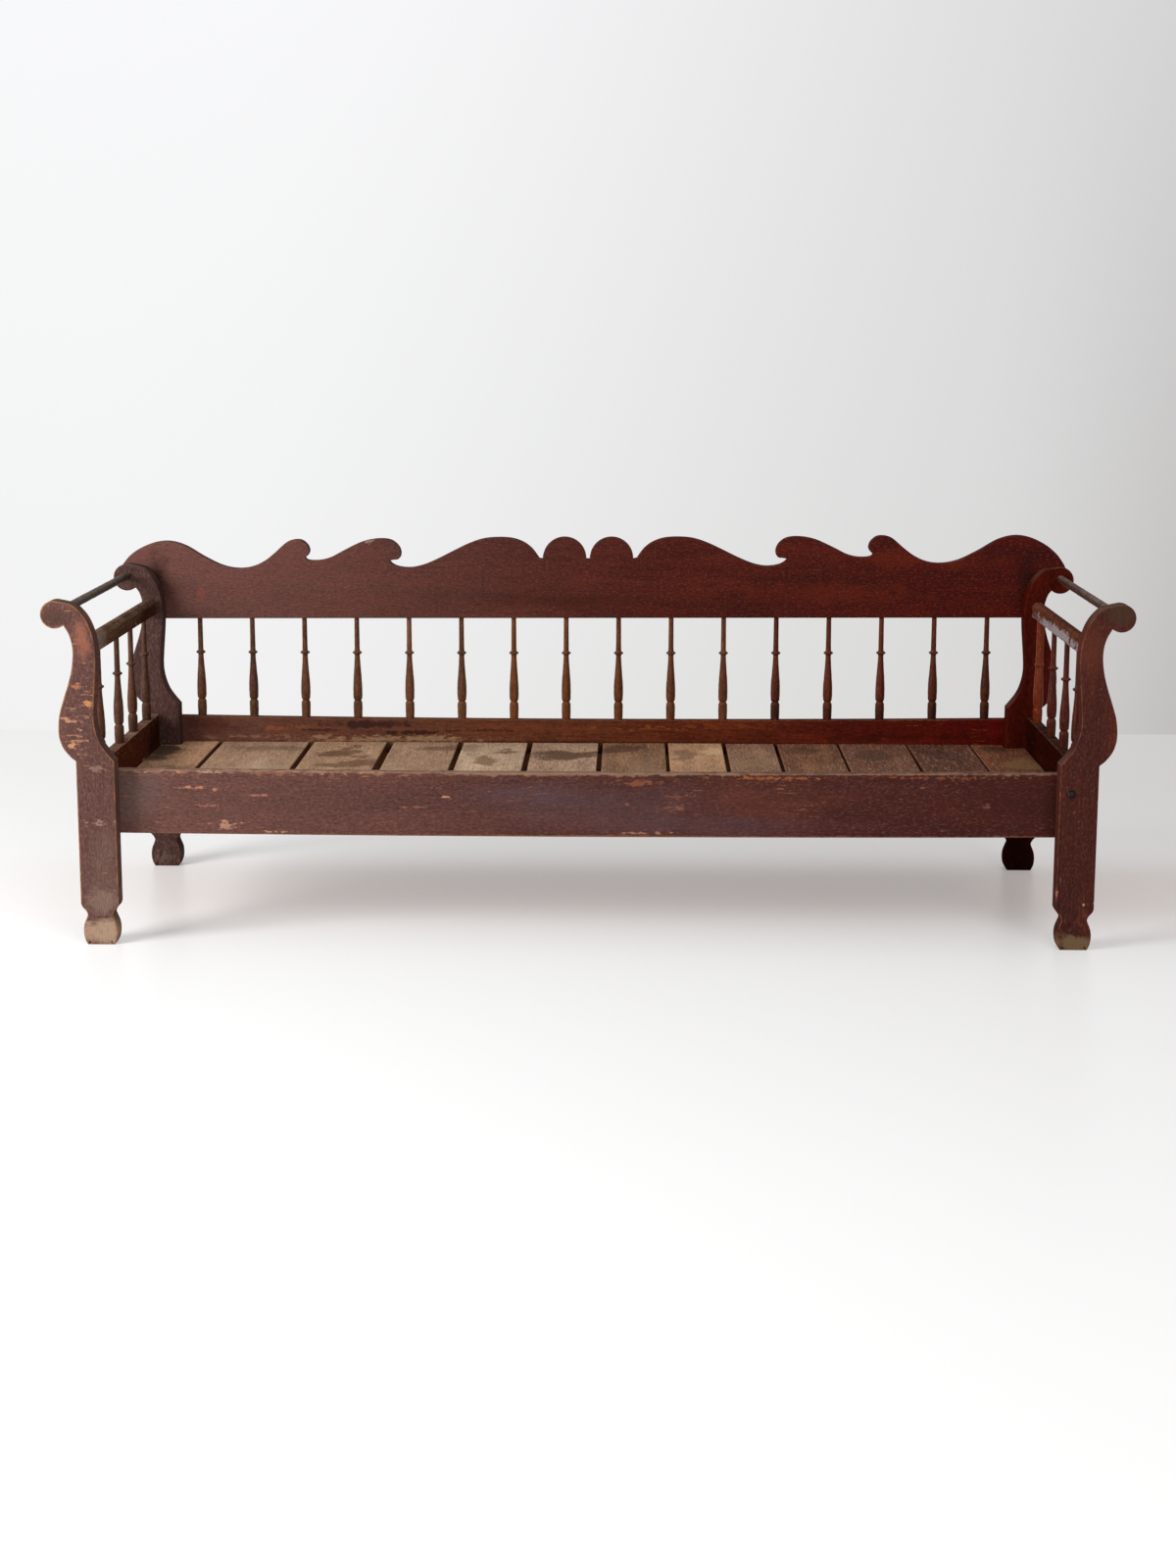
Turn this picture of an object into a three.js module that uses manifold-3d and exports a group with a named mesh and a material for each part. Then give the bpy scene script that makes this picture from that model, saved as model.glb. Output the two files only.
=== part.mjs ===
// A long deacon's bench in stained wood. Four board posts, sawn to a lyre-shaped scroll, carry a sawn
// crest board, a spindle back, two spindle arms with a round rod each, and a sunk seat of loose boards.
// X runs along the bench, Y from its front to its back and Z up. Lengths are in millimetres.
import * as THREE from "three";
import { mergeVertices } from "three/addons/utils/BufferGeometryUtils.js";
import Module from "manifold-3d";

const wasm = await Module();
wasm.setup();

// Clearances
const FIT = 0.3; // left wherever one piece touches or enters another
const OVERRUN = 5; // how far a cutting solid runs past the face that it opens
const LOOSE = 2; // play of the seat boards against the posts and side rails

// Frame
const LEG_SPACING = 1710; // between the leg centres, left to right
const INNER_DEPTH = 602; // between the front and the back posts

// Posts
const POST_THICKNESS = 38;
const LEG_WIDTH = 67;
const LEG_HEIGHT = 328; // floor to the corner where the scroll begins
const FOOT_HEIGHT = 73;
const SCROLL_REACH = 62; // leg centre to the outermost point of the belly
const HEAD_REACH = 62.5; // leg centre to the centre of the scroll head
const HEAD_HEIGHT = 584.5;
const HEAD_RADIUS = 24;
const BACK_HEAD_RADIUS = 26; // the back posts have a slightly larger head
const BACK_HEAD_DROP = 3; // and it sits a little lower

// Tenons of the side rails and arm rails in the posts
const TENON_LENGTH = 20;
const TENON_THICKNESS = 9;
const TENON_SHOULDER = 6; // how much lower than its rail a tenon is, above and below

// Side rails, arm rails and arm rods stand in one plane on each side, the rods further out
const GALLERY_REACH = 17; // leg centre to the middle of the side rail
const SIDE_RAIL_THICKNESS = 21;
const SIDE_RAIL_HEIGHT = 117;
const SIDE_RAIL_TOP = 310;
const ARM_RAIL_THICKNESS = 21;
const ARM_RAIL_HEIGHT = 30;
const ARM_RAIL_DROP = 75.5; // its lower edge below the centre of the scroll head
const ARM_RAIL_BEVEL = 8; // worn slope along the upper inner edge
const ROD_RADIUS = 7.6;
const ROD_SOCKET = 18; // depth of its blind hole in a scroll head

// Front rail and back rail, lapped on the back faces of the posts
const FRONT_RAIL_THICKNESS = 22;
const FRONT_RAIL_HEIGHT = 114.5;
const FRONT_RAIL_TOP = 308; // at its ends
const FRONT_RAIL_SAG = 3.5; // how far it hangs down in the middle
const BACK_RAIL_THICKNESS = 22;
const BACK_RAIL_HEIGHT = 113;
const BACK_RAIL_TOP = 301; // at its ends
const BACK_RAIL_SAG = 6.4;
const RAIL_SPANS = 8; // straight parts that make up the curve of a sagging rail

// Crest board
const CREST_THICKNESS = 22;
const CREST_DROP = 84.7; // its lower edge below the centre of the scroll head
const CREST_HEIGHT = 160.2;
const CREST_TILT = 4.2; // rise of its lower edge at the right end, and fall at the left end
const CREST_SHIFT = 9; // how far to the left of the middle its pattern is set out
const CREST_FALL = 14; // fall of the sawn edge towards the left end
const CREST_RISE = 9.5; // rise of the sawn edge towards the right end
const LOBE_RADIUS = 43; // the two round lobes in the middle
const LOBE_KERF = 7; // flat cut beside each lobe
const CREST_INSET = 3; // how far its hidden end stays inside the outline of the post

// Spindles
const SPINDLE_RADIUS = 9.2;
const SPINDLE_TENON_RADIUS = 5;
const SPINDLE_TENON_LENGTH = 14;
const SPINDLE_TIP_RADIUS = 4.5;
const BACK_SPINDLES = 16;
const BACK_SPINDLE_END_GAP = 38.5; // leg edge to the first spindle's axis
const SPINDLE_SIDES = 10;

// Seat boards on their ledgers
const SEAT_TOP = 249;
const SEAT_BOARD_THICKNESS = 20;
const SEAT_GAP = 10; // the usual gap between two boards
const LEDGER_DEPTH = 25;
const LEDGER_HEIGHT = 30;

// Bolt, washer and nut in the front right lap
const FIXING_DROP = 29; // bolt or screw below the top edge of its rail
const BOLT_RADIUS = 4;
const BOLT_HEAD_RADIUS = 7;
const BOLT_HEAD_HEIGHT = 4;
const BOLT_END = 4; // how far the bolt stands out of its nut
const WASHER_RADIUS = 10;
const WASHER_THICKNESS = 1.5;
const NUT_RADIUS = 7.5;
const NUT_THICKNESS = 6.5;

// Countersunk wood screws in the other laps, driven in from behind
const SCREW_RADIUS = 2.3;
const SCREW_HEAD_RADIUS = 4.5;
const SCREW_HEAD_DEPTH = 3;
const SCREW_BITE = 16; // length in the second piece
const CREST_SCREW_RISE = 42; // above the bottom edge of the crest board

// Outlines as shares, each chosen by hand. Foot: shares of half the leg width and of the foot height.
const FOOT_SHARES = [
  [0.7, 0], [0.84, 0.13], [0.9, 0.31], [0.86, 0.49], [0.73, 0.65], [0.67, 0.74], [0.75, 0.83],
  [0.92, 0.92], [1, 1],
];
// Scroll edges: shares of the scroll reach and of the rise from the leg top to the head centre.
const OUTER_EDGE_SHARES = [
  [0.71, 0.035], [0.89, 0.093], [0.985, 0.162], [1, 0.232], [0.96, 0.317], [0.88, 0.386],
  [0.775, 0.463], [0.66, 0.548], [0.57, 0.637], [0.525, 0.734], [0.55, 0.811], [0.63, 0.873],
];
const INNER_EDGE_SHARES = [
  [0.53, 1.068], [0.31, 1.027], [0.13, 0.969], [0, 0.896], [-0.08, 0.819], [-0.105, 0.741],
  [-0.1, 0.645], [-0.065, 0.529], [-0.024, 0.413], [0, 0.317], [-0.016, 0.247], [-0.08, 0.178],
  [-0.19, 0.112], [-0.355, 0.054],
];
const HEAD_ARC_SHARES = [0.639, 1.264]; // start under the neck and end past the top, in turns
// Crest humps from the lobe outwards: shares of the run from the lobe to the end and of the height.
const INNER_HUMP_SHARES = [
  [0, 0.74], [0.009, 0.81], [0.0195, 0.874], [0.037, 0.94], [0.063, 0.988], [0.0965, 1],
  [0.131, 0.984], [0.164, 0.928], [0.199, 0.842], [0.235, 0.748], [0.267, 0.676], [0.294, 0.64],
  [0.314, 0.638], [0.333, 0.656], [0.345, 0.688], [0.352, 0.726],
];
const INNER_CURL_SHARES = [
  [0.352, 0.726], [0.342, 0.736], [0.3305, 0.745], [0.325, 0.786], [0.325, 0.849], [0.332, 0.918],
  [0.346, 0.975], [0.366, 0.997], [0.392, 0.99], [0.418, 0.957], [0.442, 0.902], [0.467, 0.836],
  [0.491, 0.772], [0.513, 0.742], [0.534, 0.738], [0.546, 0.75], [0.5505, 0.775],
];
const OUTER_CURL_SHARES = [
  [0.5505, 0.775], [0.543, 0.814], [0.54, 0.864], [0.545, 0.933], [0.558, 0.99], [0.574, 1],
  [0.592, 0.975], [0.607, 0.915], [0.624, 0.835], [0.649, 0.738], [0.678, 0.672], [0.711, 0.655],
  [0.749, 0.695], [0.792, 0.805], [0.832, 0.93], [0.862, 0.985], [0.888, 0.994], [0.916, 0.963],
  [0.945, 0.892], [0.97, 0.788], [0.987, 0.672],
];
const CREST_END_ARC_SHARES = [0.055, -0.36]; // round the scroll head, in turns
const CREST_NECK_SHARES = [[0.47, 0.84], [0.46, 0.73]]; // as the scroll edges
// Turned profile: shares of the spindle's exposed length and of its largest radius.
const TURNING_SHARES = [
  [0, 0.93], [0.09, 0.96], [0.155, 0.95], [0.175, 0.82], [0.19, 0.87], [0.24, 0.99], [0.33, 0.98],
  [0.42, 0.86], [0.52, 0.69], [0.628, 0.6], [0.645, 0.98], [0.66, 0.98], [0.685, 0.6], [0.8, 0.56],
];
// The last spindle of the right arm is a later one, with its ring lower down.
const LATER_TURNING_SHARES = [
  [0, 0.95], [0.07, 1], [0.095, 0.93], [0.12, 1], [0.26, 0.97], [0.4, 0.8], [0.52, 0.62],
  [0.545, 0.62], [0.565, 0.96], [0.58, 0.96], [0.605, 0.6], [0.8, 0.56],
];
// Arm spindles, drilled by eye: shares of the depth between the posts, from the front.
const LEFT_ARM_SPINDLE_SHARES = [0.16, 0.434, 0.651, 0.877];
const RIGHT_ARM_SPINDLE_SHARES = [0.183, 0.392, 0.63, 0.902];
// Gaps between the seat boards: their places as shares of half the seat width, and their widths at
// the front and at the back as shares of the usual gap.
const SEAT_GAP_PLACE_SHARES = [
  -0.865, -0.654, -0.47, -0.305, -0.144, 0.02, 0.173, 0.306, 0.426, 0.571, 0.73, 0.877,
];
const SEAT_GAP_WIDTH_SHARES = [
  [0.8, 0.8], [1.1, 1], [1.5, 1.4], [1, 1], [1.1, 1], [0.9, 0.9], [0.7, 0.6], [0.8, 0.8], [0.7, 0.7],
  [0.5, 0.4], [1.1, 0.3], [0.4, 0.3],
];

// Places worked out from the sizes above
const legCentre = LEG_SPACING / 2;
const legHalf = LEG_WIDTH / 2;
const frontLapFace = POST_THICKNESS; // back face of the front posts
const backPostFront = POST_THICKNESS + INNER_DEPTH;
const backLapFace = backPostFront + POST_THICKNESS; // back face of the back posts
const frontRailBack = frontLapFace + FIT + FRONT_RAIL_THICKNESS;
const galleryX = legCentre + GALLERY_REACH;
const sideRailInner = galleryX - SIDE_RAIL_THICKNESS / 2;
const legInner = legCentre - legHalf;
const lapCentre = (legInner + sideRailInner) / 2;
const headX = legCentre + HEAD_REACH;
const armRailBottom = HEAD_HEIGHT - ARM_RAIL_DROP;
const crestBottom = HEAD_HEIGHT - CREST_DROP;
const crestMiddleY = backLapFace + FIT + CREST_THICKNESS / 2;
const benchBack = backLapFace + FIT + Math.max(CREST_THICKNESS, BACK_RAIL_THICKNESS);

// Materials
const wood = (color, roughness) => new THREE.MeshStandardMaterial({ color, roughness, metalness: 0 });
const stainedWood = wood(0x4a2119, 0.5);
const turnedWood = wood(0x4f2415, 0.42);
const amberWood = wood(0x8a4a1c, 0.4);
const bareWood = wood(0x7b6a5a, 0.85);
const darkIron = new THREE.MeshStandardMaterial({ color: 0x26211e, roughness: 0.45, metalness: 0.9 });

const bench = new THREE.Group();

function add(name, geometry, material, x = 0, y = 0, z = 0) {
  const mesh = new THREE.Mesh(geometry, material);
  mesh.name = name;
  mesh.position.set(x, y, z);
  bench.add(mesh);
}

// Solids for joining and cutting
function toSolid(geometry) {
  const bare = geometry.index ? geometry.toNonIndexed() : geometry.clone();
  bare.deleteAttribute("normal");
  bare.deleteAttribute("uv");
  const merged = mergeVertices(bare);
  const corners = merged.index.array;
  const kept = [];
  for (let i = 0; i < corners.length; i += 3) {
    const [a, b, c] = [corners[i], corners[i + 1], corners[i + 2]];
    if (a !== b && b !== c && c !== a) kept.push(a, b, c);
  }
  return new wasm.Manifold(new wasm.Mesh({
    numProp: 3,
    vertProperties: Float32Array.from(merged.attributes.position.array),
    triVerts: Uint32Array.from(kept),
  }));
}

function toGeometry(solid) {
  const mesh = solid.getMesh();
  const geometry = new THREE.BufferGeometry();
  geometry.setAttribute("position", new THREE.BufferAttribute(mesh.vertProperties, mesh.numProp));
  geometry.setIndex(new THREE.BufferAttribute(mesh.triVerts, 1));
  geometry.computeVertexNormals();
  return geometry;
}

const cut = (geometry, cutters) =>
  toGeometry(cutters.reduce((solid, cutter) => solid.subtract(toSolid(cutter)), toSolid(geometry)));
const join = (geometries) =>
  toGeometry(geometries.slice(1).reduce((solid, next) => solid.add(toSolid(next)), toSolid(geometries[0])));

// Basic shapes. A box is given by its low and high corner along each axis.
function box([x0, x1], [y0, y1], [z0, z1]) {
  const geometry = new THREE.BoxGeometry(x1 - x0, y1 - y0, z1 - z0);
  return geometry.translate((x0 + x1) / 2, (y0 + y1) / 2, (z0 + z1) / 2);
}

const point = (x, y) => new THREE.Vector2(x, y);
const around = (middle, size) => [middle - size / 2, middle + size / 2];
const smooth = (points, stepsPerSpan) =>
  new THREE.SplineCurve(points).getPoints((points.length - 1) * stepsPerSpan);

function arc(x, y, radius, startTurn, endTurn, steps) {
  return Array.from({ length: steps + 1 }, (_, i) => {
    const angle = 2 * Math.PI * (startTurn + (endTurn - startTurn) * (i / steps));
    return point(x + radius * Math.cos(angle), y + radius * Math.sin(angle));
  });
}

function extruded(outline, depth) {
  return new THREE.ExtrudeGeometry(new THREE.Shape(outline), { depth, bevelEnabled: false });
}

// Extrudes an outline drawn in X and Z from y = front to y = front + thickness.
function board(outline, front, thickness) {
  return extruded(outline, thickness).rotateX(Math.PI / 2).translate(0, front + thickness, 0);
}

// Turns a profile of [distance along the axis, radius] pairs about +Z.
function turned(profile, sides) {
  const points = profile.map(([along, radius]) => point(radius, along));
  return new THREE.LatheGeometry(points, sides).rotateX(Math.PI / 2);
}

// The post's outline, outward from the leg centre and up from the floor
const scrollRise = HEAD_HEIGHT - LEG_HEIGHT;
const scrollPoint = ([reachShare, riseShare]) =>
  point(reachShare * SCROLL_REACH, LEG_HEIGHT + riseShare * scrollRise);

function postOutline(headRadius, headHeight) {
  const foot = smooth(FOOT_SHARES.map(([half, height]) => point(half * legHalf, height * FOOT_HEIGHT)), 2);
  const head = arc(HEAD_REACH, headHeight, headRadius, ...HEAD_ARC_SHARES, 14);
  const outer = [point(legHalf, LEG_HEIGHT), ...OUTER_EDGE_SHARES.map(scrollPoint), head[0]];
  const inner = [head[head.length - 1], ...INNER_EDGE_SHARES.map(scrollPoint), point(-legHalf, LEG_HEIGHT)];
  const innerFoot = foot.map((p) => point(-p.x, p.y)).reverse();
  return [
    ...foot, ...smooth(outer, 2), ...head.slice(1), ...smooth(inner, 2).slice(1), ...innerFoot,
  ];
}

// A rail of the side frame lies along Y between the posts. Its section is a list of X and Z points, and
// its tenons enter the posts at both ends.
const tenonHeight = (railHeight) => railHeight - 2 * TENON_SHOULDER;

function tenonedRail(section, middleX, middleZ, railHeight) {
  const length = INNER_DEPTH - 2 * FIT;
  const body = board(section, frontLapFace + FIT, length);
  const reach = TENON_LENGTH - FIT;
  const tenon = box(
    around(middleX, TENON_THICKNESS),
    [frontLapFace - reach, backPostFront + reach],
    around(middleZ, tenonHeight(railHeight)),
  );
  return join([body, tenon]);
}

const rectangle = ([x0, x1], [z0, z1]) => [point(x0, z0), point(x1, z0), point(x1, z1), point(x0, z1)];

// Spindles
function spindleProfile(exposed, turningShares = TURNING_SHARES) {
  const body = turningShares.map(([along, radius]) => [along * exposed, radius * SPINDLE_RADIUS]);
  return [
    [FIT - SPINDLE_TENON_LENGTH, 0], [FIT - SPINDLE_TENON_LENGTH, SPINDLE_TENON_RADIUS],
    [FIT, SPINDLE_TENON_RADIUS], [FIT, body[0][1]], ...body.slice(1),
    [exposed + SPINDLE_TENON_LENGTH - FIT, SPINDLE_TIP_RADIUS], [exposed + SPINDLE_TENON_LENGTH - FIT, 0],
  ];
}

function drill(radius, from, to, sides = SPINDLE_SIDES) {
  return turned([[from, 0], [from, radius], [to, radius], [to, 0]], sides);
}

// Blind holes for the spindles: in the piece below them and in the piece above them.
const lowerHole = (x, y, top) =>
  drill(SPINDLE_TENON_RADIUS + FIT, top - SPINDLE_TENON_LENGTH, top + OVERRUN).translate(x, y, 0);
const upperHole = (x, y, bottom) =>
  drill(SPINDLE_TIP_RADIUS + FIT, bottom - OVERRUN, bottom + SPINDLE_TENON_LENGTH).translate(x, y, 0);

const evenly = (first, last, count) =>
  Array.from({ length: count }, (_, i) => first + (last - first) * (i / (count - 1)));
const hang = (x, reach, sag) => -sag * (1 - (x / reach) ** 2);
const backRailReach = legCentre + legHalf;
const backRailTopAt = (x) => BACK_RAIL_TOP + hang(x, backRailReach, BACK_RAIL_SAG);
const crestEnd = headX + HEAD_RADIUS;
const crestBottomAt = (x) => crestBottom + (CREST_TILT * x) / crestEnd;
const firstBackSpindle = legInner - BACK_SPINDLE_END_GAP;
const backSpindleXs = evenly(-firstBackSpindle, firstBackSpindle, BACK_SPINDLES);
const armSpindleYs = (side) =>
  (side < 0 ? LEFT_ARM_SPINDLE_SHARES : RIGHT_ARM_SPINDLE_SHARES).map((share) =>
    frontLapFace + share * INNER_DEPTH);

// A screw lies along Y with its head at the back, and its tip ends in the post.
function screw(side, x, y, z, pieceThickness) {
  return { side, x: side * x, y, z, length: pieceThickness + FIT + SCREW_BITE };
}

function screwGeometry({ length }, extra = 0) {
  const profile = [
    [-extra, 0], [-extra, SCREW_HEAD_RADIUS + extra], [SCREW_HEAD_DEPTH, SCREW_RADIUS + extra],
    [length - SCREW_HEAD_DEPTH, SCREW_RADIUS + extra], [length + extra, 0],
  ];
  return turned(profile, 8).rotateX(Math.PI / 2);
}

const screwHole = (place) => screwGeometry(place, FIT).translate(place.x, place.y, place.z);
const frontRailZ = [FRONT_RAIL_TOP - FRONT_RAIL_HEIGHT, FRONT_RAIL_TOP];
const backRailZ = [BACK_RAIL_TOP - BACK_RAIL_HEIGHT, BACK_RAIL_TOP];
const backRailBack = backLapFace + FIT + BACK_RAIL_THICKNESS;
const crestBack = backLapFace + FIT + CREST_THICKNESS;
const boltZ = FRONT_RAIL_TOP - FIXING_DROP;
const backScrewZ = BACK_RAIL_TOP - FIXING_DROP;
const crestScrewZ = crestBottom + CREST_SCREW_RISE;
const frontRailScrew = screw(-1, lapCentre, frontRailBack, boltZ, FRONT_RAIL_THICKNESS);
const backRailScrews = [-1, 1].map((side) =>
  screw(side, lapCentre, backRailBack, backScrewZ, BACK_RAIL_THICKNESS));
const crestScrews = [-1, 1].map((side) => screw(side, galleryX, crestBack, crestScrewZ, CREST_THICKNESS));

// Posts
function mortise(side, atBack, middleZ, railHeight) {
  const depth = atBack ? [-OVERRUN, TENON_LENGTH] : [POST_THICKNESS - TENON_LENGTH, POST_THICKNESS + OVERRUN];
  return box(
    around(side * GALLERY_REACH, TENON_THICKNESS + 2 * FIT),
    depth,
    around(middleZ, tenonHeight(railHeight) + 2 * FIT),
  );
}

function rodSocket(side, atBack) {
  const hole = drill(ROD_RADIUS + FIT, -OVERRUN, ROD_SOCKET, 16).rotateX((atBack ? -1 : 1) * Math.PI / 2);
  return hole.translate(side * HEAD_REACH, atBack ? 0 : POST_THICKNESS, HEAD_HEIGHT);
}

function boltHole(from, to) {
  return drill(BOLT_RADIUS + FIT, from, to, 12).rotateX(-Math.PI / 2).translate(lapCentre, 0, boltZ);
}

const sideRailMiddle = SIDE_RAIL_TOP - SIDE_RAIL_HEIGHT / 2;
const armRailMiddle = armRailBottom + ARM_RAIL_HEIGHT / 2;

function post(side, atBack) {
  const head = atBack ? [BACK_HEAD_RADIUS, HEAD_HEIGHT - BACK_HEAD_DROP] : [HEAD_RADIUS, HEAD_HEIGHT];
  const outline = postOutline(...head).map((p) => point(side * p.x, p.y));
  const x = side * legCentre;
  const y = atBack ? backPostFront : 0;
  const intoPost = (geometry) => geometry.translate(-x, -y, 0);
  const screws = atBack ? [...backRailScrews, ...crestScrews] : [frontRailScrew];
  const cutters = [
    mortise(side, atBack, sideRailMiddle, SIDE_RAIL_HEIGHT),
    mortise(side, atBack, armRailMiddle, ARM_RAIL_HEIGHT),
    rodSocket(side, atBack),
    ...screws.filter((place) => place.side === side).map(screwHole).map(intoPost),
  ];
  if (!atBack && side > 0) cutters.push(intoPost(boltHole(-OVERRUN, POST_THICKNESS + OVERRUN)));
  return cut(board(outline, 0, POST_THICKNESS), cutters);
}

for (const [side, name] of [[-1, "left"], [1, "right"]]) {
  add(`front_${name}_post`, post(side, false), stainedWood, side * legCentre);
  add(`back_${name}_post`, post(side, true), stainedWood, side * legCentre, backPostFront);
}

// Side rails, arm rails, arm rods and arm spindles
const armRailSection = (side) => {
  const [inner, outer] = around(GALLERY_REACH, ARM_RAIL_THICKNESS).map((reach) => legCentre + reach);
  const top = armRailBottom + ARM_RAIL_HEIGHT;
  return [
    point(inner, armRailBottom), point(outer, armRailBottom), point(outer, top),
    point(inner + ARM_RAIL_BEVEL, top), point(inner, top - ARM_RAIL_BEVEL),
  ].map((p) => point(side * p.x, p.y));
};

const armExposed = armRailBottom - SIDE_RAIL_TOP;
const armSpindle = turned(spindleProfile(armExposed), SPINDLE_SIDES);
const laterSpindle = turned(spindleProfile(armExposed, LATER_TURNING_SHARES), SPINDLE_SIDES);

for (const [side, name] of [[-1, "left"], [1, "right"]]) {
  const x = side * galleryX;
  const ys = armSpindleYs(side);
  const sideRailZ = [SIDE_RAIL_TOP - SIDE_RAIL_HEIGHT, SIDE_RAIL_TOP];
  const sideRail = tenonedRail(
    rectangle(around(x, SIDE_RAIL_THICKNESS), sideRailZ), x, sideRailMiddle, SIDE_RAIL_HEIGHT);
  const lowerHoles = ys.map((y) => lowerHole(x, y, SIDE_RAIL_TOP));
  add(`${name}_side_rail`, cut(sideRail, lowerHoles), stainedWood);
  const armRail = tenonedRail(armRailSection(side), x, armRailMiddle, ARM_RAIL_HEIGHT);
  const upperHoles = ys.map((y) => upperHole(x, y, armRailBottom));
  add(`${name}_arm_rail`, cut(armRail, upperHoles), stainedWood);
  const rodEnd = ROD_SOCKET - FIT;
  const rod = drill(ROD_RADIUS, frontLapFace - rodEnd, backPostFront + rodEnd, 16).rotateX(-Math.PI / 2);
  add(`${name}_arm_rod`, rod, turnedWood, side * headX, 0, HEAD_HEIGHT);
  ys.forEach((y, i) => {
    const isLater = side > 0 && i === ys.length - 1;
    const [geometry, material] = isLater ? [laterSpindle, amberWood] : [armSpindle, turnedWood];
    add(`${name}_arm_spindle_${i + 1}`, geometry, material, x, y, SIDE_RAIL_TOP);
  });
}

// Front rail and back rail
function saggingRail(reach, [bottom, top], sag, front, thickness) {
  const edge = (z) => evenly(-reach, reach, RAIL_SPANS + 1).map((x) => point(x, z + hang(x, reach, sag)));
  return board([...edge(bottom), ...edge(top).reverse()], front, thickness);
}

const frontRailReach = sideRailInner - FIT;
const frontRail = saggingRail(
  frontRailReach, frontRailZ, FRONT_RAIL_SAG, frontLapFace + FIT, FRONT_RAIL_THICKNESS);
add("front_rail", cut(frontRail, [
  screwHole(frontRailScrew),
  boltHole(frontLapFace - OVERRUN, frontRailBack + OVERRUN),
]), stainedWood);

const backRail = saggingRail(backRailReach, backRailZ, BACK_RAIL_SAG, backLapFace + FIT, BACK_RAIL_THICKNESS);
add("back_rail", cut(backRail, [
  ...backRailScrews.map(screwHole),
  ...backSpindleXs.map((x) => lowerHole(x, crestMiddleY, backRailTopAt(x))),
]), stainedWood);

// Crest board. Its pattern is the same on both sides, but it is set out by hand: a little to the left,
// and rising towards the right end. Both faults die out at the ends, behind the scroll heads.
function setOut(p) {
  const share = p.x / crestEnd;
  const rise = share * Math.sqrt(Math.abs(share)) * (1 - share ** 16);
  const lift = (share < 0 ? CREST_FALL : CREST_RISE) * rise;
  return point(p.x - CREST_SHIFT * (1 - share ** 4), p.y + lift);
}

function crestSide(side) {
  const lobeX = LOBE_KERF / 2 + LOBE_RADIUS;
  const humpStart = lobeX + LOBE_RADIUS + LOBE_KERF;
  const run = crestEnd - humpStart;
  const onCrest = ([runShare, heightShare]) =>
    point(humpStart + runShare * run, crestBottom + heightShare * CREST_HEIGHT);
  const lobe = arc(lobeX, crestBottom + CREST_HEIGHT - LOBE_RADIUS, LOBE_RADIUS, 0.5, 0, 12);
  const sawnEdge = [
    ...lobe,
    ...smooth(INNER_HUMP_SHARES.map(onCrest), 2),
    ...smooth(INNER_CURL_SHARES.map(onCrest), 2).slice(1),
    ...smooth(OUTER_CURL_SHARES.map(onCrest), 2).slice(1),
  ];
  const end = arc(headX, HEAD_HEIGHT, HEAD_RADIUS - CREST_INSET, ...CREST_END_ARC_SHARES, 8);
  const neck = CREST_NECK_SHARES.map(scrollPoint).map((p) => point(legCentre + p.x, p.y));
  const mirrored = (p) => point(side * p.x, p.y);
  const foot = neck[neck.length - 1].x;
  const hiddenEnd = [...end, ...neck, point(foot, crestBottomAt(side * foot))];
  return [...sawnEdge.map(mirrored).map(setOut), ...hiddenEnd.map(mirrored)];
}

const crestOutline = [...crestSide(1), ...crestSide(-1).reverse()];
add("crest_board", cut(board(crestOutline, backLapFace + FIT, CREST_THICKNESS), [
  ...crestScrews.map(screwHole),
  ...backSpindleXs.map((x) => upperHole(x, crestMiddleY, crestBottomAt(x))),
]), stainedWood);

backSpindleXs.forEach((x, i) => {
  const foot = backRailTopAt(x);
  const backSpindle = turned(spindleProfile(crestBottomAt(x) - foot), SPINDLE_SIDES);
  add(`back_spindle_${i + 1}`, backSpindle, turnedWood, x, crestMiddleY, foot);
});

// Seat boards, from left to right. The two end boards are notched round the back posts.
const seatReach = sideRailInner - LOOSE;
const seatFront = frontRailBack + FIT;
const seatBack = backLapFace;
const notchX = legInner - LOOSE;
const notchY = backPostFront - LOOSE;

function seatEdges() {
  const edges = SEAT_GAP_PLACE_SHARES.map((share, i) => {
    const [front, back] = SEAT_GAP_WIDTH_SHARES[i].map((width) => (width * SEAT_GAP) / 2);
    const x = share * seatReach;
    return { left: [x - front, x - back], right: [x + front, x + back] };
  });
  const ends = { left: [seatReach, seatReach], right: [-seatReach, -seatReach] };
  return [ends, ...edges, ends];
}

function seatOutline(left, right) {
  const leftBack = left[1] < -notchX
    ? [point(-notchX, seatBack), point(-notchX, notchY), point(left[1], notchY)]
    : [point(left[1], seatBack)];
  const rightBack = right[1] > notchX
    ? [point(right[1], notchY), point(notchX, notchY), point(notchX, seatBack)]
    : [point(right[1], seatBack)];
  return [point(left[0], seatFront), point(right[0], seatFront), ...rightBack, ...leftBack];
}

const edges = seatEdges();
edges.slice(1).forEach((edge, i) => {
  const outline = seatOutline(edges[i].right, edge.left);
  const geometry = extruded(outline, SEAT_BOARD_THICKNESS);
  add(`seat_board_${i + 1}`, geometry, bareWood, 0, 0, SEAT_TOP - SEAT_BOARD_THICKNESS);
});

// Ledgers under the ends of the seat boards
const ledgerReach = notchX;
const ledgerTop = SEAT_TOP - SEAT_BOARD_THICKNESS - FIT;
function ledger(front) {
  const height = [ledgerTop - LEDGER_HEIGHT, ledgerTop];
  return box([-ledgerReach, ledgerReach], [front, front + LEDGER_DEPTH], height);
}
add("front_ledger", ledger(frontRailBack + FIT), stainedWood);
add("back_ledger", ledger(backLapFace - LEDGER_DEPTH), stainedWood);

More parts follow.
